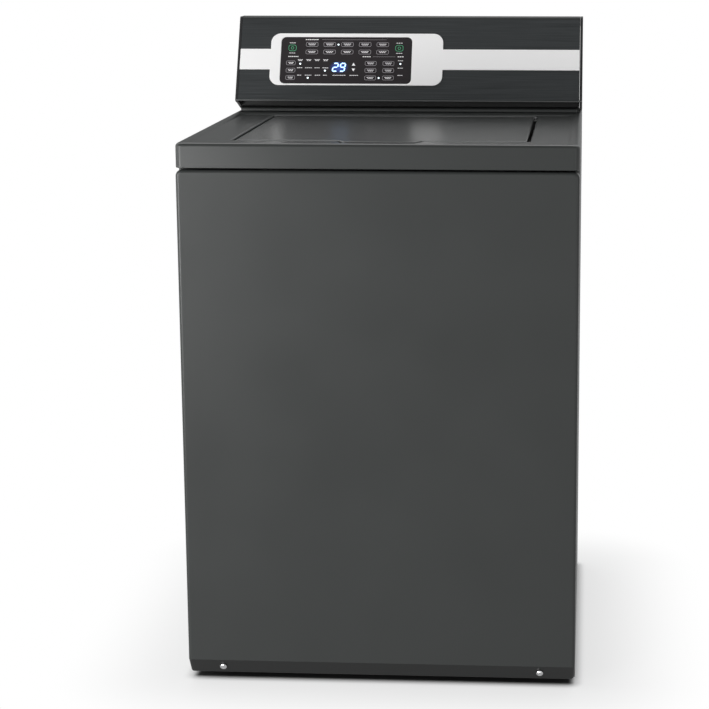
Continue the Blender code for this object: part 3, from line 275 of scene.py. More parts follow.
def finish(
    name,
    colour,
    roughness,
    metallic=0.0,
    mottle=0.05,
    mottle_scale=6.0,
    grain=0.08,
    grain_scale=1400.0,
    stretch=(1, 1, 1),
    rough_spread=0.04,
    streak=0.0,
    coat=0.0,
    glow=0.0,
):
    """A Principled material with broad mottling, and a fine grain that also bumps it.

    streak is how much of the fine grain shows as colour; stretch pulls the grain out."""
    made = bpy.data.materials.new(name)
    made.use_nodes = True
    tree = Tree(made.node_tree)
    shader = made.node_tree.nodes["Principled BSDF"]
    shader.inputs["Metallic"].default_value = metallic
    shader.inputs["Coat Weight"].default_value = coat
    shader.inputs["Coat Roughness"].default_value = COAT_ROUGHNESS
    coords = tree.coords()
    mapping = tree.add("Mapping", Scale=stretch)
    tree.link(coords, mapping.inputs["Vector"])
    grains = tree.add("TexNoise", Scale=grain_scale, Detail=3.0)
    tree.link(mapping.outputs["Vector"], grains.inputs["Vector"])
    fine = grains.outputs["Fac"]
    clouds = tree.add("TexNoise", Scale=mottle_scale, Detail=4.0)
    tree.link(coords, clouds.inputs["Vector"])
    broad = clouds.outputs["Fac"]

    tint = tree.add("Mix", {"data_type": "RGBA"})
    tint.inputs["A"].default_value = (*[c * (1 - mottle) for c in colour], 1)
    tint.inputs["B"].default_value = (*[min(1, c * (1 + mottle)) for c in colour], 1)
    tree.link(broad, tint.inputs["Factor"])
    last = tint.outputs["Result"]
    if streak:
        lines = tree.add("Mix", {"data_type": "RGBA", "blend_type": "MULTIPLY"}, Factor=1.0)
        tree.link(last, lines.inputs["A"])
        spread = tree.ramp(fine, *NOISE_SPAN, 1 - streak, 1 + streak, smooth=False)
        tree.link(spread, lines.inputs["B"])
        last = lines.outputs["Result"]
    tree.link(last, shader.inputs["Base Color"])
    if glow:
        tree.link(last, shader.inputs["Emission Color"])
        shader.inputs["Emission Strength"].default_value = glow

    least, most = max(0.02, roughness - rough_spread), roughness + rough_spread
    polish = tree.ramp(fine if streak else broad, *NOISE_SPAN, least, most, smooth=False)
    tree.link(polish, shader.inputs["Roughness"])
    bump = tree.add("Bump", Strength=grain, Distance=0.0004)
    tree.link(fine, bump.inputs["Height"])
    tree.link(bump.outputs["Normal"], shader.inputs["Normal"])
    return made


def spangled(name, colour, roughness, cell_scale=130.0):
    """Zinc coated steel, with the crystal patches of hot dipping."""
    made = finish(name, colour, roughness, metallic=0.9, grain=0.05, mottle=0.08)
    tree = Tree(made.node_tree)
    cells = tree.add("TexVoronoi", Scale=cell_scale)
    shade = tree.add("MapRange", To_Min=roughness - 0.10, To_Max=roughness + 0.12)
    tree.link(tree.coords(), cells.inputs["Vector"])
    tree.link(cells.outputs["Color"], shade.inputs["Value"])
    shader = made.node_tree.nodes["Principled BSDF"]
    tree.link(shade.outputs["Result"], shader.inputs["Roughness"])
    return made


def circuit(name):
    """Green solder mask with paler tracks under it."""
    made = finish(name, (0.02, 0.12, 0.05), 0.35, grain=0.02)
    tree = Tree(made.node_tree)
    tracks = tree.add(
        "TexBrick",
        Color1=(0.02, 0.13, 0.05, 1),
        Color2=(0.03, 0.17, 0.07, 1),
        Mortar=(0.07, 0.28, 0.10, 1),
        Scale=60,
        Mortar_Size=0.04,
    )
    tree.link(tree.coords(), tracks.inputs["Vector"])
    shader = made.node_tree.nodes["Principled BSDF"]
    tree.link(tracks.outputs["Color"], shader.inputs["Base Color"])
    return made


PAINT = (0.0250, 0.0268, 0.0262)
CABINET = finish("cabinet_paint", (0.0338, 0.0362, 0.0354), 0.34, mottle=0.03, grain=0.05)
CABINET.node_tree.nodes["Principled BSDF"].inputs["Specular IOR Level"].default_value = 0.36
# painted shade: a darker copy of the cabinet paint, standing in for the shade on the toe's
# down-facing slope
TOE_PAINTED_SHADE = finish("toe_painted_shade", (0.0088, 0.0094, 0.0092), 0.42, mottle=0.03, grain=0.05)
# painted highlight: a lighter copy of the paint, put on rolled edges and lips where light catches
# them
LIP_PAINTED_HIGHLIGHT = finish("lip_painted_highlight", (0.110, 0.114, 0.114), 0.30, mottle=0.03, grain=0.03)
DARK_STEEL = finish("dark_steel", (0.05, 0.05, 0.05), 0.35, metallic=0.8, grain=0.05)
ENAMEL = finish(
    "enamel_top", PAINT, 0.30, grain=0.012, grain_scale=900, rough_spread=0.01, coat=0.36
)
BRUSHED = finish(
    "brushed_black",
    (0.046, 0.050, 0.052),
    0.38,
    metallic=0.30,
    mottle=0.06,
    grain=0.08,
    grain_scale=1.0,
    stretch=(9, 1500, 1500),
    rough_spread=0.10,
    streak=0.28,
)
# the glow is painted light: the trim glows though it is no lamp, to lift its brightness
SILVER = finish("silver_trim", (0.86, 0.85, 0.85), 0.30, mottle=0.02, grain=0.02, glow=0.07)
GLASS = (0.028, 0.024, 0.026)
TOUCH_BLACK = finish("touch_glass", GLASS, 0.12, mottle=0.1, grain=0.0)
ZINC = spangled("galvanised_steel", (0.46, 0.47, 0.48), 0.40)
BRUSH = dict(grain_scale=1.0, stretch=(12, 12, 1300), rough_spread=0.06, streak=0.08)
STAINLESS = finish(
    "stainless_steel", (0.60, 0.60, 0.59), 0.24, metallic=1.0, mottle=0.03, grain=0.06, **BRUSH
)
STEEL = finish("bright_steel", (0.72, 0.72, 0.73), 0.18, metallic=1.0, mottle=0.05, grain=0.03)
WHITE = finish("white_plastic", (0.72, 0.73, 0.72), 0.38, grain=0.06, grain_scale=700)
GREY = finish("grey_plastic", (0.30, 0.32, 0.34), 0.42, grain=0.06, grain_scale=700)
BLACK = finish("black_plastic", (0.018, 0.018, 0.019), 0.45, grain=0.10, grain_scale=1500)
# painted shade: near black put in the console's recess, where there is only shade
RECESS_PAINTED_SHADE = finish("recess_painted_shade", (0.006, 0.006, 0.006), 0.65, grain=0.05)
RUBBER = finish(
    "black_rubber", (0.016, 0.016, 0.016), 0.72, mottle=0.2, grain=0.25, grain_scale=900
)
BOARD = circuit("circuit_board")
CAST = finish("cast_aluminium", (0.46, 0.46, 0.46), 0.50, metallic=0.9, grain=0.35, grain_scale=800)
PRINT = finish("panel_print", (0.75, 0.73, 0.75), 0.4, mottle=0.15, grain=0.0, glow=0.30)
PAD_LINE = finish("pad_outline", (0.34, 0.32, 0.34), 0.4, mottle=0.15, grain=0.0, glow=0.18)
PAD_GREEN = finish("pad_green", (0.07, 0.34, 0.17), 0.4, mottle=0.10, grain=0.0, glow=0.30)
LAMP = finish("lamp_white", (0.80, 0.90, 1.0), 0.4, mottle=0.05, grain=0.0, glow=1.3)
DIGIT = finish("digit_blue", (0.42, 0.66, 1.0), 0.4, mottle=0.05, grain=0.0, glow=2.0)
RED = finish("red_plastic", (0.50, 0.035, 0.03), 0.40, grain=0.06, grain_scale=700)
BLUE = finish("blue_plastic", (0.03, 0.12, 0.45), 0.40, grain=0.06, grain_scale=700)
LABEL = finish("blank_label", (0.62, 0.62, 0.60), 0.45, mottle=0.04, grain=0.02)


def halo(name, centre, reach):
    """Black glass with a blue glow that fades with distance from a point."""
    made = finish(name, GLASS, 0.12, mottle=0.1, grain=0.0)
    tree = Tree(made.node_tree)
    place = (-centre[0] / reach[0], -centre[1] / reach[1], 0)
    mapping = tree.add("Mapping", Location=place, Scale=(1 / reach[0], 1 / reach[1], 1))
    tree.link(tree.coords(), mapping.inputs["Vector"])
    distance = tree.vector("LENGTH", mapping.outputs["Vector"])
    shader = made.node_tree.nodes["Principled BSDF"]
    shader.inputs["Emission Color"].default_value = (0.05, 0.17, 0.95, 1)
    strength = tree.ramp(distance, 0.15, 1.0, 0.42, 0.0)
    tree.link(strength, shader.inputs["Emission Strength"])
    return made


CAD_FINISHES = {
    "cabinet_paint": CABINET,
    "brushed_black": BRUSHED,
    "silver_trim": SILVER,
    "black_touch_panel": TOUCH_BLACK,
    "galvanised_steel": ZINC,
    "stainless_steel": STAINLESS,
    "bright_steel": STEEL,
    "white_plastic": WHITE,
    "grey_plastic": GREY,
    "black_plastic": BLACK,
    "black_rubber": RUBBER,
    "circuit_board": BOARD,
    "cast_aluminium": CAST,
}


SLOT_OF = {material.name: slot for slot, material in CAD_FINISHES.items()}
SLOT_OF |= {ENAMEL.name: "cabinet_paint", LIP_PAINTED_HIGHLIGHT.name: "cabinet_paint"}
SLOT_OF |= {RECESS_PAINTED_SHADE.name: "black_plastic", LABEL.name: "grey_plastic"}


def dress_frame():
    """Gives every CAD node the finish of its slot, and smooth shading."""
    for part in frame["record"]["subparts"]:
        node = frame["nodes"][part["node"]]
        node.data.materials.clear()
        node.data.materials.append(CAD_FINISHES[part["material_slot"]])
        node.data.shade_smooth()
        edges = node.modifiers.new("edges", "WEIGHTED_NORMAL")
        edges.keep_sharp = True
        node.data.set_sharp_from_angle(angle=radians(35))
    for side in ("left", "right"):
        frame["nodes"][f"lid_hinge_pin_{side}"].data.materials[0] = DARK_STEEL


# ---- outlines
def arc(centre, radius, start, end, steps):
    """Points on a circle, angles in degrees."""
    turn = [radians(start + (end - start) * i / steps) for i in range(steps + 1)]
    return [(centre[0] + radius * cos(a), centre[1] + radius * sin(a)) for a in turn]


def circle(centre, radius, steps=24):
    return arc(centre, radius, 0, 360, steps)[:-1]


def rounded_box(left, right, low, high, radius, steps=6, low_radius=None):
    """A rectangle's outline with round corners, anticlockwise from its lower right corner."""
    r, f = radius, radius if low_radius is None else low_radius
    return (
        arc((right - f, low + f), f, -90, 0, steps)
        + arc((right - r, high - r), r, 0, 90, steps)
        + arc((left + r, high - r), r, 90, 180, steps)
        + arc((left + f, low + f), f, 180, 270, steps)
    )


def ease(t):
    """A smooth step from 0 to 1."""
    t = min(1.0, max(0.0, t))
    return t * t * (3 - 2 * t)


def tabbed(half, front, back, radius, z, reach=0.0, tab_half=TAB_HALF):
    """A rounded rectangle at height z in (x, y, z), with a soft tab in its front edge."""
    steps = 10
    rise = [
        (-tab_half - TAB_SLOPE * (1 - i / steps), front - reach * ease(i / steps))
        for i in range(steps + 1)
    ]
    tab = rise + [(-x, d) for x, d in reversed(rise)]
    outline = tab + rounded_box(-half, half, front, back, radius, 8)
    return [(x, FRONT + d, z) for x, d in outline]


def ribbon(path, thickness):
    """The closed outline of a strip of that thickness on the left of an open path."""
    side = []
    for i, point in enumerate(path):
        before = Vector(path[i]) - Vector(path[max(i - 1, 0)])
        after = Vector(path[min(i + 1, len(path) - 1)]) - Vector(path[i])
        before = (before if before.length else after).normalized()
        after = (after if after.length else before).normalized()
        normal = Vector((-before.y - after.y, before.x + after.x)).normalized()
        reach = thickness / max(0.3, normal.dot(Vector((-after.y, after.x))))
        side.append((point[0] + normal.x * reach, point[1] + normal.y * reach))
    return [*path, *reversed(side)]


# ---- making pieces
def link(name, data):
    thing = bpy.data.objects.new(name, data)
    bpy.context.scene.collection.objects.link(thing)
    return thing


def from_bmesh(name, work):
    bmesh.ops.recalc_face_normals(work, faces=work.faces)
    mesh = bpy.data.meshes.new(name)
    work.to_mesh(mesh)
    work.free()
    return link(name, mesh)


def as_mesh(thing):
    """Turns a curve or a mesh with modifiers into a plain welded mesh of the same name."""
    bpy.context.view_layer.update()
    graph = bpy.context.evaluated_depsgraph_get()
    mesh = bpy.data.meshes.new_from_object(thing.evaluated_get(graph))
    work = bmesh.new()
    work.from_mesh(mesh)
    bmesh.ops.remove_doubles(work, verts=work.verts, dist=1e-6)
    work.to_mesh(mesh)
    work.free()
    place, name = thing.matrix_world.copy(), thing.name
    bpy.data.objects.remove(thing)
    made = link(name, mesh)
    made.matrix_world = place
    return made


def piece(thing, material, body, replaces=(), angle=35, slot=None):
    """Finishes a new piece: its material, its shading, the body it rides on, what it replaces.

    The slot given, or else its material's own, is looked up but not kept or used.
    """
    thing.data.materials.clear()
    thing.data.materials.append(material)
    if thing.type == "MESH":
        thing.data.shade_smooth()
        thing.data.set_sharp_from_angle(angle=radians(angle))
    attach(thing, body)
    slot or SLOT_OF[material.name]
    if replaces:
        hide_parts(*replaces)
    return thing


def second_finish(thing, material, chosen):
    """Gives a piece's faces another material where chosen(centre) is true."""
    thing.data.materials.append(material)
    for face in thing.data.polygons:
        if chosen(face.center):
            face.material_index = len(thing.data.materials) - 1


def loft(name, loops, cap_last=False):
    """A surface through successive closed outlines, each of as many points."""
    count = len(loops[0])
    work = bmesh.new()
    rings = [[work.verts.new(p) for p in loop] for loop in loops]
    for near, far in zip(rings, rings[1:]):
        for i in range(count):
            j = (i + 1) % count
            work.faces.new((near[i], near[j], far[j], far[i]))
    if cap_last:
        work.faces.new(rings[-1])
    mesh = bpy.data.meshes.new(name)
    work.to_mesh(mesh)
    work.free()
    return link(name, mesh)


def modifier(thing, kind, **settings):
    """Gives a thing a modifier with these settings."""
    step = thing.modifiers.new(kind.lower(), kind)
    for name, value in settings.items():
        setattr(step, name, value)
    return thing


def thicken(thing, thickness, offset=-1.0):
    return modifier(thing, "SOLIDIFY", thickness=thickness, offset=offset, use_even_offset=True)


def rounded(thing, width, segments=3, angle=35):
    limit = dict(limit_method="ANGLE", angle_limit=radians(angle))
    return modifier(thing, "BEVEL", width=width, segments=segments, harden_normals=True, **limit)


def cut_away(thing, cutters):
    """Cuts meshes out of a thing, and returns it as a plain mesh."""
    for cutter in cutters:
        modifier(thing, "BOOLEAN", operation="DIFFERENCE", object=cutter)
    made = as_mesh(thing)
    for cutter in cutters:
        bpy.data.objects.remove(cutter)
    return made


def lathe(name, profile, steps=96, centre=AXIS):
    """Revolves (radius, z) points about a vertical axis; a profile off the axis is closed."""
    count = len(profile)
    edges = [(i, i + 1) for i in range(count - 1)]
    if profile[0][0]:
        edges.append((count - 1, 0))
    mesh = bpy.data.meshes.new(name)
    mesh.from_pydata([(r, 0, z) for r, z in profile], edges, [])
    thing = link(name, mesh)
    thing.location = centre
    merge = dict(use_merge_vertices=True, merge_threshold=1e-6)
    return modifier(thing, "SCREW", steps=steps, render_steps=steps, **merge)


def plate(name, loops, thickness, edge=0.0):
    """A flat plate in XY from outlines and holes, with its edges rounded by edge."""
    curve = bpy.data.curves.new(name, "CURVE")
    curve.dimensions = "2D"
    curve.fill_mode = "BOTH"
    curve.extrude = thickness / 2 - edge
    curve.bevel_depth = edge
    curve.bevel_resolution = 2
    curve.offset = -edge
    for loop in loops:
        spline = curve.splines.new("POLY")
        spline.points.add(len(loop) - 1)
        for point, (x, y) in zip(spline.points, loop):
            point.co = (x, y, 0, 1)
        spline.use_cyclic_u = True
    return link(name, curve)


def evenly(path, step):
    """Points at equal distances along a path."""
    path = [Vector(p) for p in path]
    spread, carried = [path[0]], 0.0
    for start, end in zip(path, path[1:]):
        length = (end - start).length
        along = step - carried
        while along <= length:
            spread.append(start.lerp(end, along / length))
            along += step
        carried = length - (along - step)
    return spread


def tube(name, points, radius, resolution=4, waist=1.0):
    """A round tube along points; waist is how narrow every second point is."""
    curve = bpy.data.curves.new(name, "CURVE")
    curve.dimensions = "3D"
    curve.bevel_depth = radius
    curve.bevel_resolution = resolution
    curve.use_fill_caps = True
    spline = curve.splines.new("POLY")
    spline.points.add(len(points) - 1)
    for i, (point, place) in enumerate(zip(spline.points, points)):
        point.co = (*place, 1)
        point.radius = waist if i % 2 else 1.0
    return link(name, curve)


def smooth_path(points, between=6):
    """A Catmull-Rom curve through points."""
    points = [Vector(p) for p in points]
    ends = [2 * points[0] - points[1], *points, 2 * points[-1] - points[-2]]
    path = []
    for a, b, c, d in zip(ends, ends[1:], ends[2:], ends[3:]):
        for step in range(between):
            t = step / between
            bend = 2 * b + (c - a) * t + (2 * a - 5 * b + 4 * c - d) * t**2
            path.append(0.5 * (bend + (3 * b - a - 3 * c + d) * t**3))
    return [*path, points[-1]]


def stand_along_x(thing, x=0.0):
    """Turns a plate drawn in (depth, z) so that its thickness runs along X, centred at x."""
    thing.matrix_world = Matrix(((0, 0, 1, x), (1, 0, 0, FRONT), (0, 1, 0, 0), (0, 0, 0, 1)))
    return thing


def stand_along_y(thing, y):
    """Turns a plate drawn in (x, z) so that its thickness runs along Y, centred at y."""
    thing.matrix_world = Matrix(((1, 0, 0, 0), (0, 0, 1, y), (0, 1, 0, 0), (0, 0, 0, 1)))
    return thing


def on_face(thing, offset):
    """Lays a plate drawn in (x, distance up the face) on the console, centred offset outside."""
    origin = FACE_LOW + FACE_OUT * offset
    thing.matrix_world = Matrix(
        (
            (1, 0, 0, 0),
            (0, FACE_UP.x, FACE_OUT.x, FRONT + origin.x),
            (0, FACE_UP.y, FACE_OUT.y, origin.y),
            (0, 0, 0, 1),
        )
    )
    return thing


def screw_head(name, place, out, radius, body, recess="cross"):
    """A pan head screw whose head stands out along out, with a cross or hexagon recess."""
    height = radius * 0.62
    profile = [(0, height), (radius * 0.45, height * 0.97), (radius * 0.8, height * 0.72)]
    profile += [(radius * 0.97, height * 0.35), (radius, 0.0), (0, 0)]
    head = as_mesh(lathe(name, profile, 32, (0, 0, 0)))
    arms = [rounded_box(-radius * 0.62, radius * 0.62, -radius * 0.13, radius * 0.13, 1e-5, 1)]
    if recess == "hexagon":
        arms = [circle((0, 0), radius * 0.5, 6)]
    cutters = []
    for i in range(2 if recess == "cross" else 1):
        cutter = plate("recess", arms, height * 1.1)
        cutter.location = (0, 0, height)
        cutter.rotation_euler = (0, 0, i * pi / 2)
        cutters.append(as_mesh(cutter))
    head = cut_away(head, cutters)
    head.rotation_mode = "QUATERNION"
    head.rotation_quaternion = Vector(out).to_track_quat("Z", "Y")
    head.location = place
    return piece(head, STEEL, body)


def drilled(thing, clearance):
    """Cuts the lock bolt's way through a sheet, and returns the sheet as a plain mesh."""
    low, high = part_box("lid_lock_bolt")
    middle, radius = (low + high) / 2, (high.z - low.z) / 2 + clearance
    way = plate("bolt_way", [circle((middle.y - FRONT, middle.z), radius, 32)], 0.030)
    way = as_mesh(stand_along_x(way, LID_HALF + LID_SIDE_GAP / 2))
    return cut_away(thing, [way])


# ---- cabinet
def toe_shift(x, z, depth):
    """How far the front panel's foot is drawn back at a point of the flat panel."""
    fall = max(0.0, (TOE_Z - z) / (TOE_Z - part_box("front_panel")[0].z))
    corner = ease((abs(x) - (HALF - 0.032)) / 0.030)
    return fall * (TOE_DEPTH + TOE_CORNER * corner) * (1 - depth / PANEL_WRAP)


def front_panel():
    """One folded sheet with rolled edges, whose foot slopes back."""
    low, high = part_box("front_panel")
    steps = 10
    rings = []
    for i in range(steps + 1):
        turn = pi / 2 * i / steps
        rings.append((EDGE_ROLL * (1 - sin(turn)), EDGE_ROLL * (1 - cos(turn))))
    rings.insert(0, (EDGE_ROLL + 0.0012, 0.0))
    loops = []
    for inset, depth in reversed([*rings, (0.0, PANEL_WRAP)]):
        corner, foot = PANEL_CORNER - inset, max(0.0004, FOOT_CORNER - inset * 0.55)
        edges = (-HALF + inset, HALF - inset, low.z + inset * 0.35, high.z - inset)
        outline = rounded_box(*edges, corner, 10, foot)
        loops.append([(x, FRONT + depth, z) for x, z in outline])
    panel = loft("front_panel_sheet", loops, cap_last=True)
    work = bmesh.new()
    work.from_mesh(panel.data)
    everything = [*work.verts, *work.edges, *work.faces]
    bmesh.ops.bisect_plane(work, geom=everything, plane_co=(0, 0, TOE_Z), plane_no=(0, 0, 1))
    for vert in work.verts:
        vert.co.y += toe_shift(vert.co.x, vert.co.z, vert.co.y - FRONT)
        fall = max(0.0, (TOE_Z - vert.co.z) / (TOE_Z - low.z))
        vert.co.x *= 1 - fall * TOE_TAPER / HALF
    work.to_mesh(panel.data)
    work.free()
    piece(thicken(panel, SHEET), CABINET, "cabinet", ["front_panel"], 12)
    # painted shade: the faces of the foot below TOE_Z get the darker toe material
    second_finish(panel, TOE_PAINTED_SHADE, lambda at: at.z < TOE_Z and at.y < FRONT + PANEL_WRAP * 0.8)


def top_panel():
    """The enamelled top, its spill well, and the lid's pocket with the opening's flange."""
    half = HALF
    back = BACK - FRONT
    roll = 0.006

    def rim(turn):
        inset = roll * (1 - cos(radians(turn)))
        height = TOP - roll * (1 - sin(radians(turn)))
        return tabbed(half - inset, inset, back - inset, 0.010, height)

    def pocket(inset, z):
        half, front = LID_HALF + LID_SIDE_GAP - inset, POCKET_FRONT + inset
        tab = (TAB_REACH + 0.0085, TAB_HALF + 0.006)
        return tabbed(half, front, POCKET_BACK - inset, 0.010, z, *tab)

    def opening(z, grow=0.0):
        front, rear = OPENING_FRONT - grow, OPENING_BACK + grow
        return tabbed(OPENING_HALF + grow, front, rear, 0.045, z)

    loops = [tabbed(half - 0.010, 0.010, back - 0.010, 0.008, SKIRT + 0.0004)]
    loops += [tabbed(half - 0.0008, 0.0008, back - 0.0008, 0.010, SKIRT)]
    loops += [tabbed(half, 0, back, 0.010, SKIRT + 0.0008)]
    loops += [rim(turn) for turn in range(0, 91, 15)]
    for i in range(7):
        t = i / 6
        inset, z = 0.014 + 0.007 * t, TOP - (TOP - WELL_Z) * ease(t)
        rear = WELL_BACK + 0.006 * (1 - t)
        loops.append(tabbed(half - inset, inset, rear, 0.012, z))
    loops += [tabbed(half - 0.0225, 0.0225, WELL_BACK - 0.0015, 0.012, WELL_Z)]
    loops += [pocket(-0.0036, WELL_Z)]
    for turn in range(0, 91, 18):
        slope = radians(turn)
        fall = 0.0024 * (1 - cos(slope))
        loops.append(pocket(-0.0024 * (1 - sin(slope)), WELL_Z - fall))
    loops += [pocket(0, POCKET_FLOOR + 0.002), pocket(0.0006, POCKET_FLOOR + 0.0005)]
    loops += [pocket(0.002, POCKET_FLOOR)]
    loops += [opening(POCKET_FLOOR, 0.002), opening(POCKET_FLOOR - 0.0006, 0.0005)]
    loops += [opening(POCKET_FLOOR - 0.002), opening(POCKET_FLOOR - 0.022)]
    panel = drilled(thicken(loft("top_panel_sheet", loops), SHEET), GAP)
    piece(panel, ENAMEL, "cabinet", ["top_panel"], 30)

    def on_skirt(at):
        rim = abs(at.x) > HALF - 0.002 or at.y < FRONT + 0.002 or at.y > BACK - 0.002
        return rim and at.z < TOP - 0.002

    second_finish(panel, CABINET, on_skirt)
    rim = -LID_HALF - LID_SIDE_GAP

    # painted highlight: the rolled top of the pocket's left rim is painted lighter, as light
    # catching it
    def on_rim_highlight(at):
        return rim - 0.003 < at.x < rim and WELL_Z - 0.0025 < at.z < WELL_Z

    second_finish(panel, LIP_PAINTED_HIGHLIGHT, on_rim_highlight)


# ---- lid
def lid():
    """The lid's pressing, its inner panel with a raised field, and its rubber bumpers."""

    def edge(inset, z):
        tab = (TAB_REACH, TAB_HALF - inset / 2)
        return tabbed(LID_HALF - inset, LID_FRONT + inset, LID_BACK - inset, 0.006, z, *tab)

    roll = 0.003
    loops = [edge(0.0004, LID_SKIRT), edge(0, LID_SKIRT + 0.0006)]
    for turn in range(0, 91, 15):
        inset = roll * (1 - cos(radians(turn)))
        loops.append(edge(inset, LID_TOP - roll * (1 - sin(radians(turn)))))
    loops.append(edge(roll + 0.0012, LID_TOP))
    skin = drilled(thicken(loft("lid_pressing", loops, cap_last=True), SHEET), 0.001)
    piece(skin, ENAMEL, "lid", ["lid_outer"], 30)
    tab = TAB_HALF + TAB_SLOPE
    ahead = FRONT + LID_FRONT + 0.003

    # painted highlight: the top of the lid's front roll beside the tab is painted lighter as a
    # bright line
    def highlight_beside_tab(at):
        return at.z > LID_TOP - 0.0022 and abs(at.x) > tab and at.y < ahead

    second_finish(skin, LIP_PAINTED_HIGHLIGHT, highlight_beside_tab)

    inset = SHEET
    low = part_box("lid_inner")[0].z
    field = [(0.0, 0.0), (0.010, 0.0), (0.014, 0.0003), (0.021, 0.0034), (0.025, 0.0040)]
    field += [(0.060, 0.0040), (0.063, 0.0036), (0.067, 0.0014), (0.071, 0.0010)]
    loops = [edge(inset + step, low + rise) for step, rise in field]
    loops.append(edge(inset + 0.0725, low + 0.0010))
    inner = thicken(loft("lid_inner_panel", loops, cap_last=True), SHEET, 1.0)
    piece(inner, ENAMEL, "lid", ["lid_inner"], 30)
    profile = [(0, 0.0034), (0.0030, 0.0030), (0.0052, 0.0006), (0.0052, 0.0), (0, 0.0)]
    for x, side in ((-0.200, "left"), (0.200, "right")):
        bumper = lathe(f"lid_bumper_{side}", profile, 24, (0, 0, 0))
        bumper.rotation_euler = (pi, 0, 0)
        bumper.location = (x, FRONT + 0.074, low - GAP)
        piece(bumper, RUBBER, "lid")


# ---- console
def console_path(steps=8):
    """The hood's section from the recess under its lip, over the face and top, to its rear."""
    r = TOP_ROUNDING
    centre = FACE_HIGH - FACE_OUT * r
    start = degrees(atan2(FACE_OUT.y, FACE_OUT.x))
    return (
        [(0.6035, TOP + GAP), (0.6035, 0.9340), (0.5665, 0.9346), (0.5632, 0.9350)]
        + [(0.5622, 0.9355), tuple(FACE_LOW)]
        + arc(centre, r, start, 90, steps)
        + arc((CONSOLE_BACK - r, centre.y), r, 90, 0, steps)
        + [(CONSOLE_BACK, 1.0700)]
    )


def console_shell():
    """The hood, its low foot in front of the recess, a near black sheet in the recess as painted
    shade, a lip painted lighter as a painted highlight, and the end caps.
    """
    hood = plate("console_hood", [ribbon(console_path(), -0.0015)], 2 * CONSOLE_HALF)
    hood = as_mesh(stand_along_x(hood))
    piece(hood, CABINET, "cabinet", ["console_housing"], 25)
    front, top = FOOT_DEPTH, 0.9212
    section = [(front + 0.0008, TOP + GAP), (front, TOP + 0.0012)]
    section += arc((front + 0.0030, top - 0.0030), 0.0030, 180, 90, 5)
    section += [(0.6030, top + 0.0006), (0.6030, TOP + GAP)]
    foot = as_mesh(plate("console_foot", [section], 2 * FOOT_HALF))
    piece(rounded(stand_along_x(foot), 0.0006, 2, 40), CABINET, "cabinet", (), 25)
    # painted shade: a near black sheet lines the recess under the lip, where there is only shade
    wall = [(0.6026, top + 0.0008), (0.6026, 0.9338), (0.5672, 0.9344), (0.5672, 0.9340)]
    wall += [(0.6020, 0.9333), (0.6020, top + 0.0012), (0.5760, top + 0.0006)]
    recess_shade_sheet = stand_along_x(as_mesh(plate("console_recess_shade", [wall], 2 * CONSOLE_HALF - 0.002)))
    piece(recess_shade_sheet, RECESS_PAINTED_SHADE, "cabinet", (), 25)
    # a rolled lip under the face, painted lighter as a painted highlight
    wire = circle((FACE_LOW.x + 0.0010, FACE_LOW.y + 0.0001), 0.0013, 16)
    lip = plate("console_lip", [wire], 2 * HALF)
    piece(as_mesh(stand_along_x(lip)), LIP_PAINTED_HIGHLIGHT, "cabinet", (), 40)
    outline = [(0.6240, TOP + GAP), (0.6120, 0.9180), (0.5830, 0.9285), (0.5660, 0.9330)]
    outline += [*console_path()[3:-1], (CONSOLE_BACK, TOP + GAP)]
    width = HALF - CONSOLE_HALF - GAP
    for side, name in ((-1, "left"), (1, "right")):
        cap = as_mesh(plate(f"console_cap_{name}", [outline], width))
        stand_along_x(cap, side * (HALF - width / 2))
        node = f"console_end_cap_{name}"
        piece(rounded(cap, 0.0009, 3, 40), BLACK, "cabinet", [node], 25)


def console_trim():
    """The silver band with the plate round the touch panel."""
    left, right, low, high = TRIM_PLATE
    bar_low, bar_high = TRIM_BAR
    r, steps = 0.0185, 12
    outline = (
        [(TRIM_HALF, bar_low), (TRIM_HALF, bar_high), (right, bar_high)]
        + arc((right - r, high - r), r, 0, 90, steps)
        + arc((left + r, high - r), r, 90, 180, steps)
        + [(left, bar_high), (-TRIM_HALF, bar_high), (-TRIM_HALF, bar_low), (left, bar_low)]
        + arc((left + r, low + r), r, 180, 270, steps)
        + arc((right - r, low + r), r, 270, 360, steps)
        + [(right, bar_low)]
    )
    window = rounded_box(*TOUCH, 0.0095, 10)
    trim = on_face(plate("trim_band", [outline, window], TRIM_THICK, 0.0005), TRIM_MIDDLE)
    piece(trim, SILVER, "cabinet", ["console_trim_band"])
    t_left, t_right, t_low, t_high = TOUCH
    pane = rounded_box(t_left + GAP, t_right - GAP, t_low + GAP, t_high - GAP, 0.0091, 10)
    glass = on_face(plate("touch_glass", [pane], TRIM_THICK, 0.0003), TRIM_MIDDLE - 0.0001)
    piece(glass, TOUCH_BLACK, "cabinet", ["touch_panel"])


def printed(name, loops, material, lift=0.00008):
    """Flat marks on the touch panel, all in one object."""
    marks = on_face(plate(name, loops, 0.00006), PRINT_HEIGHT + lift)
    return piece(marks, material, "cabinet", slot="black_touch_panel")


def bar(x, up, width, height, radius=None, steps=2):
    """A rounded box about its middle, with slightly rounded corners if no radius is given."""
    radius = height * 0.3 if radius is None else radius
    w, h = width / 2, height / 2
    return rounded_box(x - w, x + w, up - h, up + h, radius, steps)


def pad(x, up, width=0.0195, height=0.0088, line=0.0006, radius=0.0026):
    """The outline of a touch pad: an outer and an inner rounded box."""
    return [bar(x, up, width - 2 * i, height - 2 * i, radius - i, 5) for i in (0, line)]


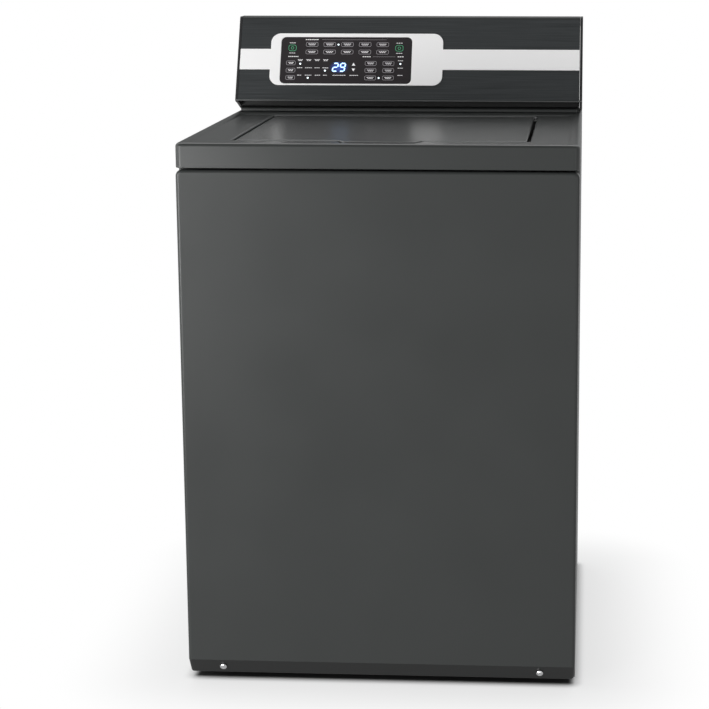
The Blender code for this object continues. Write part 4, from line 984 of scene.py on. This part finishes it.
def dashes(x, up, width, rows=2, height=0.0011, gap=0.0009):
    """A label stood in for by short rows of dashes."""
    made = []
    for row in range(rows):
        level = up + (row - (rows - 1) / 2) * -(height + gap)
        span = width * (1.0, 0.78, 0.9)[row % 3]
        count = max(2, round(span / 0.0036))
        step = span / count
        for i in range(count):
            long = step * (0.72 if (i + row) % 2 else 0.86)
            made.append(bar(x - span / 2 + step * (i + 0.5), level, long, height))
    return made


def segment(a, b, width):
    """One bar of a seven segment digit, pointed at both ends."""
    a, b = Vector(a), Vector(b)
    along = (b - a).normalized()
    side = Vector((-along.y, along.x)) * width / 2
    tip = along * width / 2
    upper, lower = [a + tip + side, b - tip + side], [b - tip - side, a + tip - side]
    return [tuple(p) for p in (a, *upper, b, *lower)]


def digit(x, up, value, wide=0.0088, tall=0.0158, lean=0.16, line=0.0022):
    """A leaning seven segment digit whose middle is at x, up."""
    h, w = tall / 2, wide / 2
    corners = dict(a=((-w, h), (w, h)), b=((w, h), (w, 0)), c=((w, 0), (w, -h)))
    corners |= dict(d=((-w, -h), (w, -h)), e=((-w, 0), (-w, -h)), f=((-w, h), (-w, 0)))
    corners |= dict(g=((-w, 0), (w, 0)))
    lit = {2: "abged", 9: "abcdfg"}[value]
    loops = []
    for name in lit:
        start, end = [Vector(p) for p in corners[name]]
        loop = segment(start.lerp(end, 0.07), start.lerp(end, 0.93), line)
        loops.append([(x + px + py * lean, up + py) for px, py in loop])
    return loops


def touch_marks():
    """The pads, labels, lamps and digits of the touch panel."""
    columns = [-0.1845 + 0.0335 * i for i in range(5)]
    groups = [  # places, width of the pads, width of their labels
        ([(x, up) for x in columns for up in (0.1115, 0.0962)], 0.0230, 0.0150),
        ([(x, up) for x in (-0.0720, -0.0385) for up in (0.0733, 0.0590, 0.0441)], 0.0215, 0.0135),
        ([(-0.2230, up) for up in (0.0738, 0.0590, 0.0441)], 0.0175, 0.0105),
    ]
    outlines, labels = [], []
    for places, width, label_width in groups:
        for x, up in places:
            outlines += pad(x, up, width)
            labels += dashes(x, up, label_width)
    printed("pad_outlines", outlines, PAD_LINE)

    green = []
    for x in (-0.2215, -0.0190):
        green += pad(x, 0.1042, 0.0150, 0.0128, 0.0008, 0.0046)
        green += [circle((x, 0.1042), 0.0030), circle((x, 0.1042), 0.0022)]
        for up in (0.1145, 0.0939):
            labels += dashes(x, up, 0.0120, rows=1)
    printed("power_pads", green, PAD_GREEN)

    for up, places in (
        (0.1212, ((-0.1850, 0.0250),)),
        (0.0868, ((-0.2190, 0.0200), (-0.0800, 0.0160), (-0.0160, 0.0120))),
    ):
        for x, width in places:
            labels += dashes(x, up, width, rows=1, height=0.0016)
    for i in range(4):
        labels += dashes(-0.2055 + 0.0160 * i, 0.0795, 0.0100)
    upper = ((-0.2060, 0.0105), (-0.1895, 0.0135), (-0.1730, 0.0105), (-0.1575, 0.0115))
    lower = ((-0.2060, 0.0085), (-0.1890, 0.0130), (-0.1715, 0.0105), (-0.1575, 0.0075))
    lower += ((-0.1310, 0.0250), (-0.1030, 0.0165))
    for up, places in ((0.0640, upper), (0.0491, lower)):
        for x, width in places:
            labels += dashes(x, up, width, rows=1)
    for up in (0.0788, 0.0640, 0.0493):
        labels += dashes(-0.0160, up, 0.0100, rows=1)
    printed("pad_labels", labels, PRINT)

    rules = [bar(-0.1050, 0.1212, 0.1220, 0.0004), bar(-0.0470, 0.0868, 0.0420, 0.0004)]
    printed("panel_rules", rules, PAD_LINE)

    lamps = [(-0.1345, 0.1112), (-0.2053, 0.0722), (-0.1579, 0.0584), (-0.1898, 0.0437)]
    lamps += [(-0.0560, 0.0440), (-0.0160, 0.0724)]
    printed("lamps", [circle(place, 0.0017) for place in lamps], LAMP)
    up_arrow = [(-0.1075, 0.0688), (-0.1011, 0.0688), (-0.1043, 0.0746)]
    down_arrow = [(-0.1075, 0.0628), (-0.1043, 0.0570), (-0.1011, 0.0628)]
    printed("arrows", [up_arrow, down_arrow], PRINT)

    middle = 0.0652
    printed("digits", digit(-0.1385, middle, 2) + digit(-0.1250, middle, 9), DIGIT, 0.00014)
    window = rounded_box(-0.1520, -0.1112, middle - 0.0140, middle + 0.0140, 0.0060, 6)
    glow = halo("digit_halo", (-0.1316, middle), (0.0200, 0.0135))
    printed("display_window", [window], glow, 0.00003)


# ---- running gear that shows
CORNERS = [f"{end}_{side}" for end in ("front", "rear") for side in ("left", "right")]


def feet():
    """The four legs, with thread, a collar and a ribbed rubber foot."""
    for corner in CORNERS:
        node = f"leveling_leg_{corner}"
        low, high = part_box(node)
        centre = ((low.x + high.x) / 2, (low.y + high.y) / 2, 0)
        pitch = 0.00125
        thread = []
        z = high.z - 0.002
        while z > 0.031:
            thread += [(0.0047, z), (0.0041, z - pitch / 2)]
            z -= pitch
        profile = [(0, high.z), (0.0038, high.z), *thread, (0.0042, 0.0296), (0.0105, 0.0296)]
        profile += [(0.0105, 0.0115), (0.0165, 0.0105), (0.0182, 0.0092), (0.0182, 0.0076)]
        profile += [(0.0174, 0.0070), (0.0174, 0.0058), (0.0188, 0.0052), (0.0188, 0.0012)]
        profile += [(0.0178, 0.0), (0, 0.0)]
        leg = lathe(f"leg_{corner}", profile, 40, centre)
        piece(leg, RUBBER, f"leg_{corner}", [node])


def perforated_wall(name, radius, low, high, pitch, hole):
    """A cylinder's wall as a grid of cells, each with a round hole, bent into a ring."""
    columns = round(2 * pi * radius / pitch)
    rows = max(1, round((high - low) / pitch))
    work = bmesh.new()
    sides = 12
    wide, tall = 2 * pi * radius / columns, (high - low) / rows

    def bent(u, z):
        angle = u / radius
        return (radius * cos(angle), radius * sin(angle), z)

    for row in range(rows):
        for column in range(columns):
            u, z = wide * (column + 0.5), low + tall * (row + 0.5)
            border, rim = [], []
            for i in range(sides):
                a = 2 * pi * i / sides
                c, s = cos(a), sin(a)
                reach = 1 / max(abs(c), abs(s))
                edge = bent(u + c * reach * wide / 2, z + s * reach * tall / 2)
                border.append(work.verts.new(edge))
                rim.append(work.verts.new(bent(u + c * hole, z + s * hole)))
            for i in range(sides):
                j = (i + 1) % sides
                work.faces.new((border[i], border[j], rim[j], rim[i]))
    bmesh.ops.remove_doubles(work, verts=work.verts, dist=1e-5)
    return from_bmesh(name, work)


def basket():
    """The stainless basket: solid floor and rim bands, and a perforated wall between them."""
    r, wall = BASKET_HIGH.x, 0.0012
    floor, rim = BASKET_LOW.z, BASKET_HIGH.z
    corner, low_band, high_band = 0.028, floor + 0.060, rim - 0.060
    mesh_wall = perforated_wall("basket_wall", r - wall / 2, low_band, high_band, 0.0165, 0.0032)
    mesh_wall.location = AXIS
    piece(thicken(mesh_wall, wall, 0.0), STAINLESS, "basket")
    rise = [(r, low_band)] + arc((r - corner, floor + corner), corner, 0, -90, 10)
    rise += [(0.150, floor), (0.135, floor + 0.003), (0.115, floor + 0.003), (0.100, floor)]
    rise += [(0.032, floor)]
    bowl = lathe("basket_floor", ribbon(rise, -wall), 128)
    piece(bowl, STAINLESS, "basket", ["wash_basket"])
    band = [(r, rim), (r, rim - 0.018), (r + 0.0022, rim - 0.022), (r + 0.0022, rim - 0.034)]
    band += [(r, rim - 0.038), (r, high_band)]
    collar = lathe("basket_rim", ribbon(band, -wall), 128)
    piece(collar, STAINLESS, "basket")


def ring_and_cover():
    """The balance ring on the basket's rim, and the splash cover on the tub's."""
    low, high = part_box("balance_ring")
    r, base = high.x, high.z - 0.0466
    profile = (
        arc((r - 0.008, high.z - 0.010), 0.010, 90, 20, 6)
        + [(r, high.z - 0.016), (r, base), (r - 0.022, base)]
        + [(r - 0.036, base - 0.011), (r - 0.039, base - 0.010)]
        + arc((r - 0.038, high.z - 0.008), 0.004, 180, 90, 5)
        + [(r - 0.030, high.z - 0.0035), (r - 0.016, high.z - 0.0035)]
    )
    shell = lathe("balance_ring_shell", profile, 128)
    piece(shell, GREY, "basket", ["balance_ring"])
    low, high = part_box("tub_cover")
    r, top = high.x, high.z
    profile = [(r, top - 0.004), (r, top - 0.022), (r - 0.0044, top - 0.022)]
    profile += [(r - 0.0044, top - 0.0095), (0.2175, top - 0.0067), (0.2175, top - 0.0295)]
    profile += [(0.2155, top - 0.0295)]
    profile += arc((0.2185, top - 0.0035), 0.0038, 180, 60, 6)
    profile += [(0.2300, top - 0.0022), (0.2600, top - 0.0022), (0.2640, top)]
    profile += arc((r - 0.004, top - 0.004), 0.004, 90, 0, 5)[:-1]
    piece(lathe("tub_splash_cover", profile, 128), WHITE, "tub", ["tub_cover"])


def agitator():
    """The post with its swept skirt, four vanes and a neck."""
    floor, top = [corner.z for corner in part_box("agitator")]
    skirt = [(0.0540, 0.480), (0.0575, 0.440), (0.0640, 0.400), (0.0735, 0.368), (0.0860, 0.345)]
    skirt += [(0.1040, 0.3235), (0.1250, 0.308), (0.1500, 0.2960), (0.1700, floor + 0.012)]
    outer = [(0.0410, top - 0.077), (0.0410, top - 0.002), (0.0418, top), (0.0460, top)]
    outer += [(0.0472, top - 0.002), (0.0478, top - 0.024), (0.0500, 0.600), (0.0520, 0.540)]
    outer += [*skirt, (0.1738, floor + 0.006), (0.1740, floor + 0.002), (0.1726, floor)]
    inner = [(0.1690, floor + 0.006), (0.1200, floor + 0.018), (0.0800, 0.332), (0.0580, 0.395)]
    inner += [(0.0480, 0.480), (0.0440, 0.575), (0.0160, 0.575), (0.0160, 0.300), (0.0081, 0.300)]
    inner += [(0.0081, 0.560), (0, 0.560)]
    post = lathe("agitator_post", [(0, top - 0.077), *outer, *inner], 96)
    piece(post, WHITE, "agitator_post", ["agitator"])
    for i in range(4):
        points = [(0.0500, 0.560), (0.0500, 0.400), (0.0700, 0.352), (0.1200, 0.302)]
        points += [(0.1600, 0.286)] + arc((0.1520, 0.3100), 0.016, -60, 60, 8)
        points += [(0.1330, 0.350), (0.1150, 0.390), (0.0980, 0.430), (0.0850, 0.470)]
        points += [(0.0740, 0.510), (0.0640, 0.550)]
        vane = plate(f"agitator_vane_{i + 1}", [points], 0.0052, 0.0018)
        vane.matrix_world = (
            Matrix.Translation(AXIS)
            @ Matrix.Rotation(pi / 2 * i, 4, "Z")
            @ Matrix(((1, 0, 0, 0), (0, 0, 1, 0), (0, 1, 0, 0), (0, 0, 0, 1)))
        )
        piece(vane, WHITE, "agitator_post")


def springs():
    """The suspension springs, which stretch between the rods' cups and the tub's frame."""
    wire, coil, turns, steps = 0.0022, 0.0145, 5.5, 22
    for corner in CORNERS:
        node = f"suspension_spring_{corner}"
        low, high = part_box(node)
        x, y = (low.x + high.x) / 2, (low.y + high.y) / 2
        bottom, top = low.z + wire, high.z - wire
        points = []
        for i in range(round(turns * steps) + 1):
            turn = i / steps
            part = (turn - 0.75) / (turns - 1.5)
            rise = ease(part) * 0.25 + 0.75 * min(1.0, max(0.0, part))
            angle = 2 * pi * turn
            z = bottom + (top - bottom) * rise
            points.append((x + coil * cos(angle), y + coil * sin(angle), z))
        spring = as_mesh(tube(f"coil_{corner}", points, wire, 2))
        crossing(spring, STEEL, (x, y, high.z))
        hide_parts(node)


def drain_hose():
    """The corrugated hose from the pump, behind the tub, up into the rear port's socket."""
    side, pump_y, port_y = -0.215, AXIS.y, FRONT + 0.655
    port_x = DRAIN_PLACE[0]
    route = [(side, pump_y + 0.0612, 0.150), (side, pump_y + 0.085, 0.150)]
    route += [(side - 0.020, pump_y + 0.150, 0.155), (-0.225, FRONT + 0.560, 0.160)]
    route += [(-0.170, FRONT + 0.635, 0.165), (0.000, port_y, 0.175), (0.150, port_y, 0.200)]
    route += [(0.222, port_y, 0.270), (port_x, port_y, 0.400), (port_x, port_y, 0.550)]
    route += [(port_x, port_y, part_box("drain_hose")[1].z)]
    path = evenly(smooth_path(route, 12), 0.0026)
    hose = as_mesh(tube("drain_hose_corrugated", path, 0.0115, 3, 0.84))
    piece(hose, RUBBER, "tub", ["drain_hose"], 60)
    ring = [(0.0117, -0.004), (0.0128, -0.004), (0.0132, -0.002), (0.0132, 0.002)]
    ring += [(0.0128, 0.004), (0.0117, 0.004)]
    clamp = face_back(lathe("drain_hose_clamp", ring, 40), side, 0.150, pump_y + 0.069)
    piece(clamp, STEEL, "tub", (), 40)


def motor_fins():
    """Cooling ribs round the motor's can."""
    low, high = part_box("motor")
    middle = (low + high) / 2
    comb = []
    for i in range(8):
        z = 0.1400 + 0.0042 * i
        comb += [(0.0641, z), (0.0664, z + 0.0003), (0.0664, z + 0.0015), (0.0641, z + 0.0018)]
    comb += [(0.0630, 0.1712), (0.0630, 0.1400)]
    fins = lathe("motor_fins", comb, 64, (middle.x, middle.y, 0))
    piece(fins, CAST, "tub", (), 40, "galvanised_steel")


def level_sensor():
    """The water level sensor behind the console's face, and its air tube to the tub's foot."""
    x, y, z = 0.120, FRONT + 0.650, 0.985
    can = [(0, 0.018), (0.0205, 0.017), (0.0215, 0.010), (0.0235, 0.0095), (0.0235, 0.0065)]
    can += [(0.0215, 0.006), (0.019, 0.004), (0.006, 0.003), (0.006, 0.0), (0, 0.0)]
    sensor = face_back(lathe("level_sensor", can, 48), x, z, y)
    piece(sensor, WHITE, "cabinet")
    bell_x, wall = 0.120, TUB_HIGH.x
    bell_y = AXIS.y + sqrt(wall**2 - bell_x**2)
    bell = [(0, 0.222), (0.009, 0.222), (0.011, 0.226), (0.011, 0.250), (0.006, 0.254)]
    bell += [(0.0032, 0.256), (0.0032, 0.268), (0, 0.268)]
    chamber = lathe("air_bell", bell, 32, (bell_x, bell_y + 0.008, 0))
    piece(chamber, WHITE, "tub")
    route = [(x, y + 0.009, z - 0.022), (x + 0.006, y + 0.010, z - 0.045), (0.140, 0.308, 0.905)]
    route += [(0.185, 0.310, 0.800), (0.190, 0.305, 0.600), (0.185, 0.300, 0.400)]
    route += [(0.150, 0.285, 0.300), (bell_x, bell_y + 0.012, 0.276)]
    route += [(bell_x, bell_y + 0.008, 0.262)]
    air_tube = as_mesh(tube("air_tube", smooth_path(route, 8), 0.0034, 3))
    crossing(air_tube, GREY, route[-1])
    grommet = [(0.0036, -0.003), (0.0070, -0.003), (0.0070, 0.0022), (0.0058, 0.003)]
    grommet += [(0.0036, 0.003)]
    for i, (gx, gy) in enumerate(((0.138, 0.307), (0.018, 0.309), (-0.262, 0.302))):
        seal = lathe(f"grommet_{i + 1}", grommet, 32, (gx, gy, TOP))
        piece(seal, RUBBER, "cabinet", (), 40)


def crossing(made, material, end):
    """Finishes a piece that runs from the cabinet to the tub: its material, smooth shading, and its
    placing baked into its mesh.
    """
    made.data.materials.clear()
    made.data.materials.append(material)
    made.data.shade_smooth()
    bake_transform(made)
    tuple(end)


def wiring():
    """The wires from the board to the valve, the motor and the pump."""
    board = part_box("control_board")
    exit_y = board[1].y + 0.004
    to_motor = [(-0.050, exit_y, 0.975), (-0.010, 0.300, 0.945), (0.018, 0.309, 0.914)]
    to_motor += [(0.030, 0.314, 0.860), (0.050, 0.316, 0.600), (0.050, 0.312, 0.330)]
    to_motor += [(0.045, 0.300, 0.215), (0.035, 0.268, 0.165), (0.024, 0.237, 0.162)]
    to_pump = [(-0.150, exit_y, 0.975), (-0.220, 0.296, 0.945), (-0.262, 0.302, 0.914)]
    to_pump += [(-0.270, 0.300, 0.860), (-0.275, 0.298, 0.500), (-0.275, 0.262, 0.220)]
    to_pump += [(-0.268, 0.150, 0.128), (-0.246, 0.040, 0.120)]
    ends = (("motor", to_motor, 0.600), ("pump", to_pump, 0.500))
    colours = (("red", RED), ("blue", BLUE), ("white", WHITE))
    for place, route, from_z in ends:
        path = evenly(smooth_path(route, 8), 0.006)
        for k, (name, material) in enumerate(colours):
            strand = []
            for i, point in enumerate(path):
                turn = i * 0.25 + 2 * pi * k / 3
                strand.append(point + Vector((cos(turn), sin(turn), 0)) * 0.0017)
            wire = as_mesh(tube(f"wire_{place}_{name}", strand, 0.0012, 1))
            crossing(wire, material, path[-1])
    for x, name, material in ((INLET_X[0], "hot", RED), (INLET_X[1], "cold", BLUE)):
        route = [(x - 0.010, exit_y, 0.975), (x - 0.004, 0.302, 0.940), (x, 0.304, 0.900)]
        route += [(x + 0.003, 0.306, 0.870), (x + 0.002, 0.307, 0.8462)]
        for k in (-1, 1):
            strand = [(px + 0.003 * k, py, pz) for px, py, pz in smooth_path(route, 6)]
            wire = tube(f"wire_{name}_{'left' if k < 0 else 'right'}", strand, 0.0012, 1)
            piece(as_mesh(wire), material, "cabinet", (), 60, "black_rubber")


# ---- the back
def face_back(thing, x, z, y):
    """Lays a piece lathed about Z with its axis along +Y, through (x, z), based at y."""
    thing.rotation_euler = (-pi / 2, 0, 0)
    thing.location = (x, y, z)
    return thing


def rear_details():
    """Threads, colour rings and filters on the inlets, the drain's collar, and the screws."""
    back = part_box("cabinet_wrap")[1].y

    def round_part(name, profile, steps, x, z, y, material, slot="grey_plastic", angle=40):
        turned = face_back(lathe(name, profile, steps), x, z, y)
        piece(turned, material, "cabinet", (), angle, slot)

    thread, pitch = BACK_END - back - 0.0065, 0.0022
    crests = [(0.01345, 0.0004)]
    for i in range(int(thread / pitch)):
        z = 0.006 + pitch * i
        crests += [(0.01345, z), (0.0145, z + pitch * 0.35), (0.0145, z + pitch * 0.55)]
    crests += [(0.01345, 0.006 + thread), (0.01325, 0.006 + thread), (0.01325, 0.0004)]
    ring = [(0.0157, 0.0002), (0.0215, 0.0002), (0.0215, 0.0012), (0.0208, 0.0018)]
    ring += [(0.0157, 0.0018)]
    dome = [(0, 0.0), (0.003, -0.0004), (0.006, -0.0018), (0.0085, -0.0042), (0.0098, -0.0065)]
    for x, name, colour in zip(INLET_X, ("hot", "cold"), (RED, BLUE)):
        at = (x, INLET_Z, back)
        round_part(f"inlet_thread_{name}", crests, 40, *at, WHITE, "white_plastic")
        round_part(f"inlet_ring_{name}", ring, 48, *at, colour)
        at = (x, INLET_Z, BACK_END - 0.006)
        round_part(f"inlet_filter_{name}", dome, 24, *at, GREY, angle=35)
    collar = [(0.0166, 0.0002), (0.0235, 0.0002), (0.0235, 0.0016), (0.0225, 0.0026)]
    collar += [(0.0166, 0.0030)]
    round_part("drain_collar", collar, 48, *DRAIN_PLACE, back, GREY)
    for i in range(2):
        start = BACK_END - back - 0.004 - 0.0065 * i
        barb = [(0.0160, start), (0.0178, start - 0.0012), (0.0178, start - 0.0022)]
        barb += [(0.0160, start - 0.005)]
        round_part(f"drain_barb_{i + 1}", barb, 40, *DRAIN_PLACE, back, GREY)

    low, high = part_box("rear_cover")
    sides, levels = (low.x + 0.010, high.x - 0.010), (0.092, 0.250, 0.408)
    console_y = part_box("console_back_cover")[1].y
    valve_x = (INLET_X[0] - 0.032, INLET_X[1] + 0.032)
    for name, across, heights, y, radius, recess in (
        ("rear_cover", sides, levels, high.y, 0.0046, "cross"),
        ("console_cover", (-0.306, 0, 0.306), (0.930, 1.056), console_y, 0.0042, "cross"),
        ("valve", valve_x, (INLET_Z,), back, 0.0042, "hexagon"),
    ):
        for i, (x, z) in enumerate((x, z) for x in across for z in heights):
            title = f"{name}_screw_{i + 1}"
            screw_head(title, (x, y, z), (0, 1, 0), radius, "cabinet", recess)
    for i, z in enumerate((0.480, 0.560, 0.640)):
        outline = rounded_box(-0.190, 0.190, z - 0.008, z + 0.008, 0.008, 8)
        rib = stand_along_y(as_mesh(plate(f"back_rib_{i + 1}", [outline], 0.0016)), back + 0.0004)
        piece(rounded(rib, 0.0007, 3, 40), CABINET, "cabinet", (), 30)
    tag = plate("blank_label", [rounded_box(-0.030, 0.062, 0.700, 0.745, 0.003, 4)], 0.0002)
    piece(stand_along_y(tag, back + 0.0003), LABEL, "cabinet")


# ---- putting it together
make_camera()
make_world()
make_lights()
make_floor()
dress_frame()
front_panel()
top_panel()
lid()
console_shell()
console_trim()
touch_marks()
feet()
basket()
ring_and_cover()
agitator()
springs()
drain_hose()
motor_fins()
level_sensor()
wiring()
rear_details()
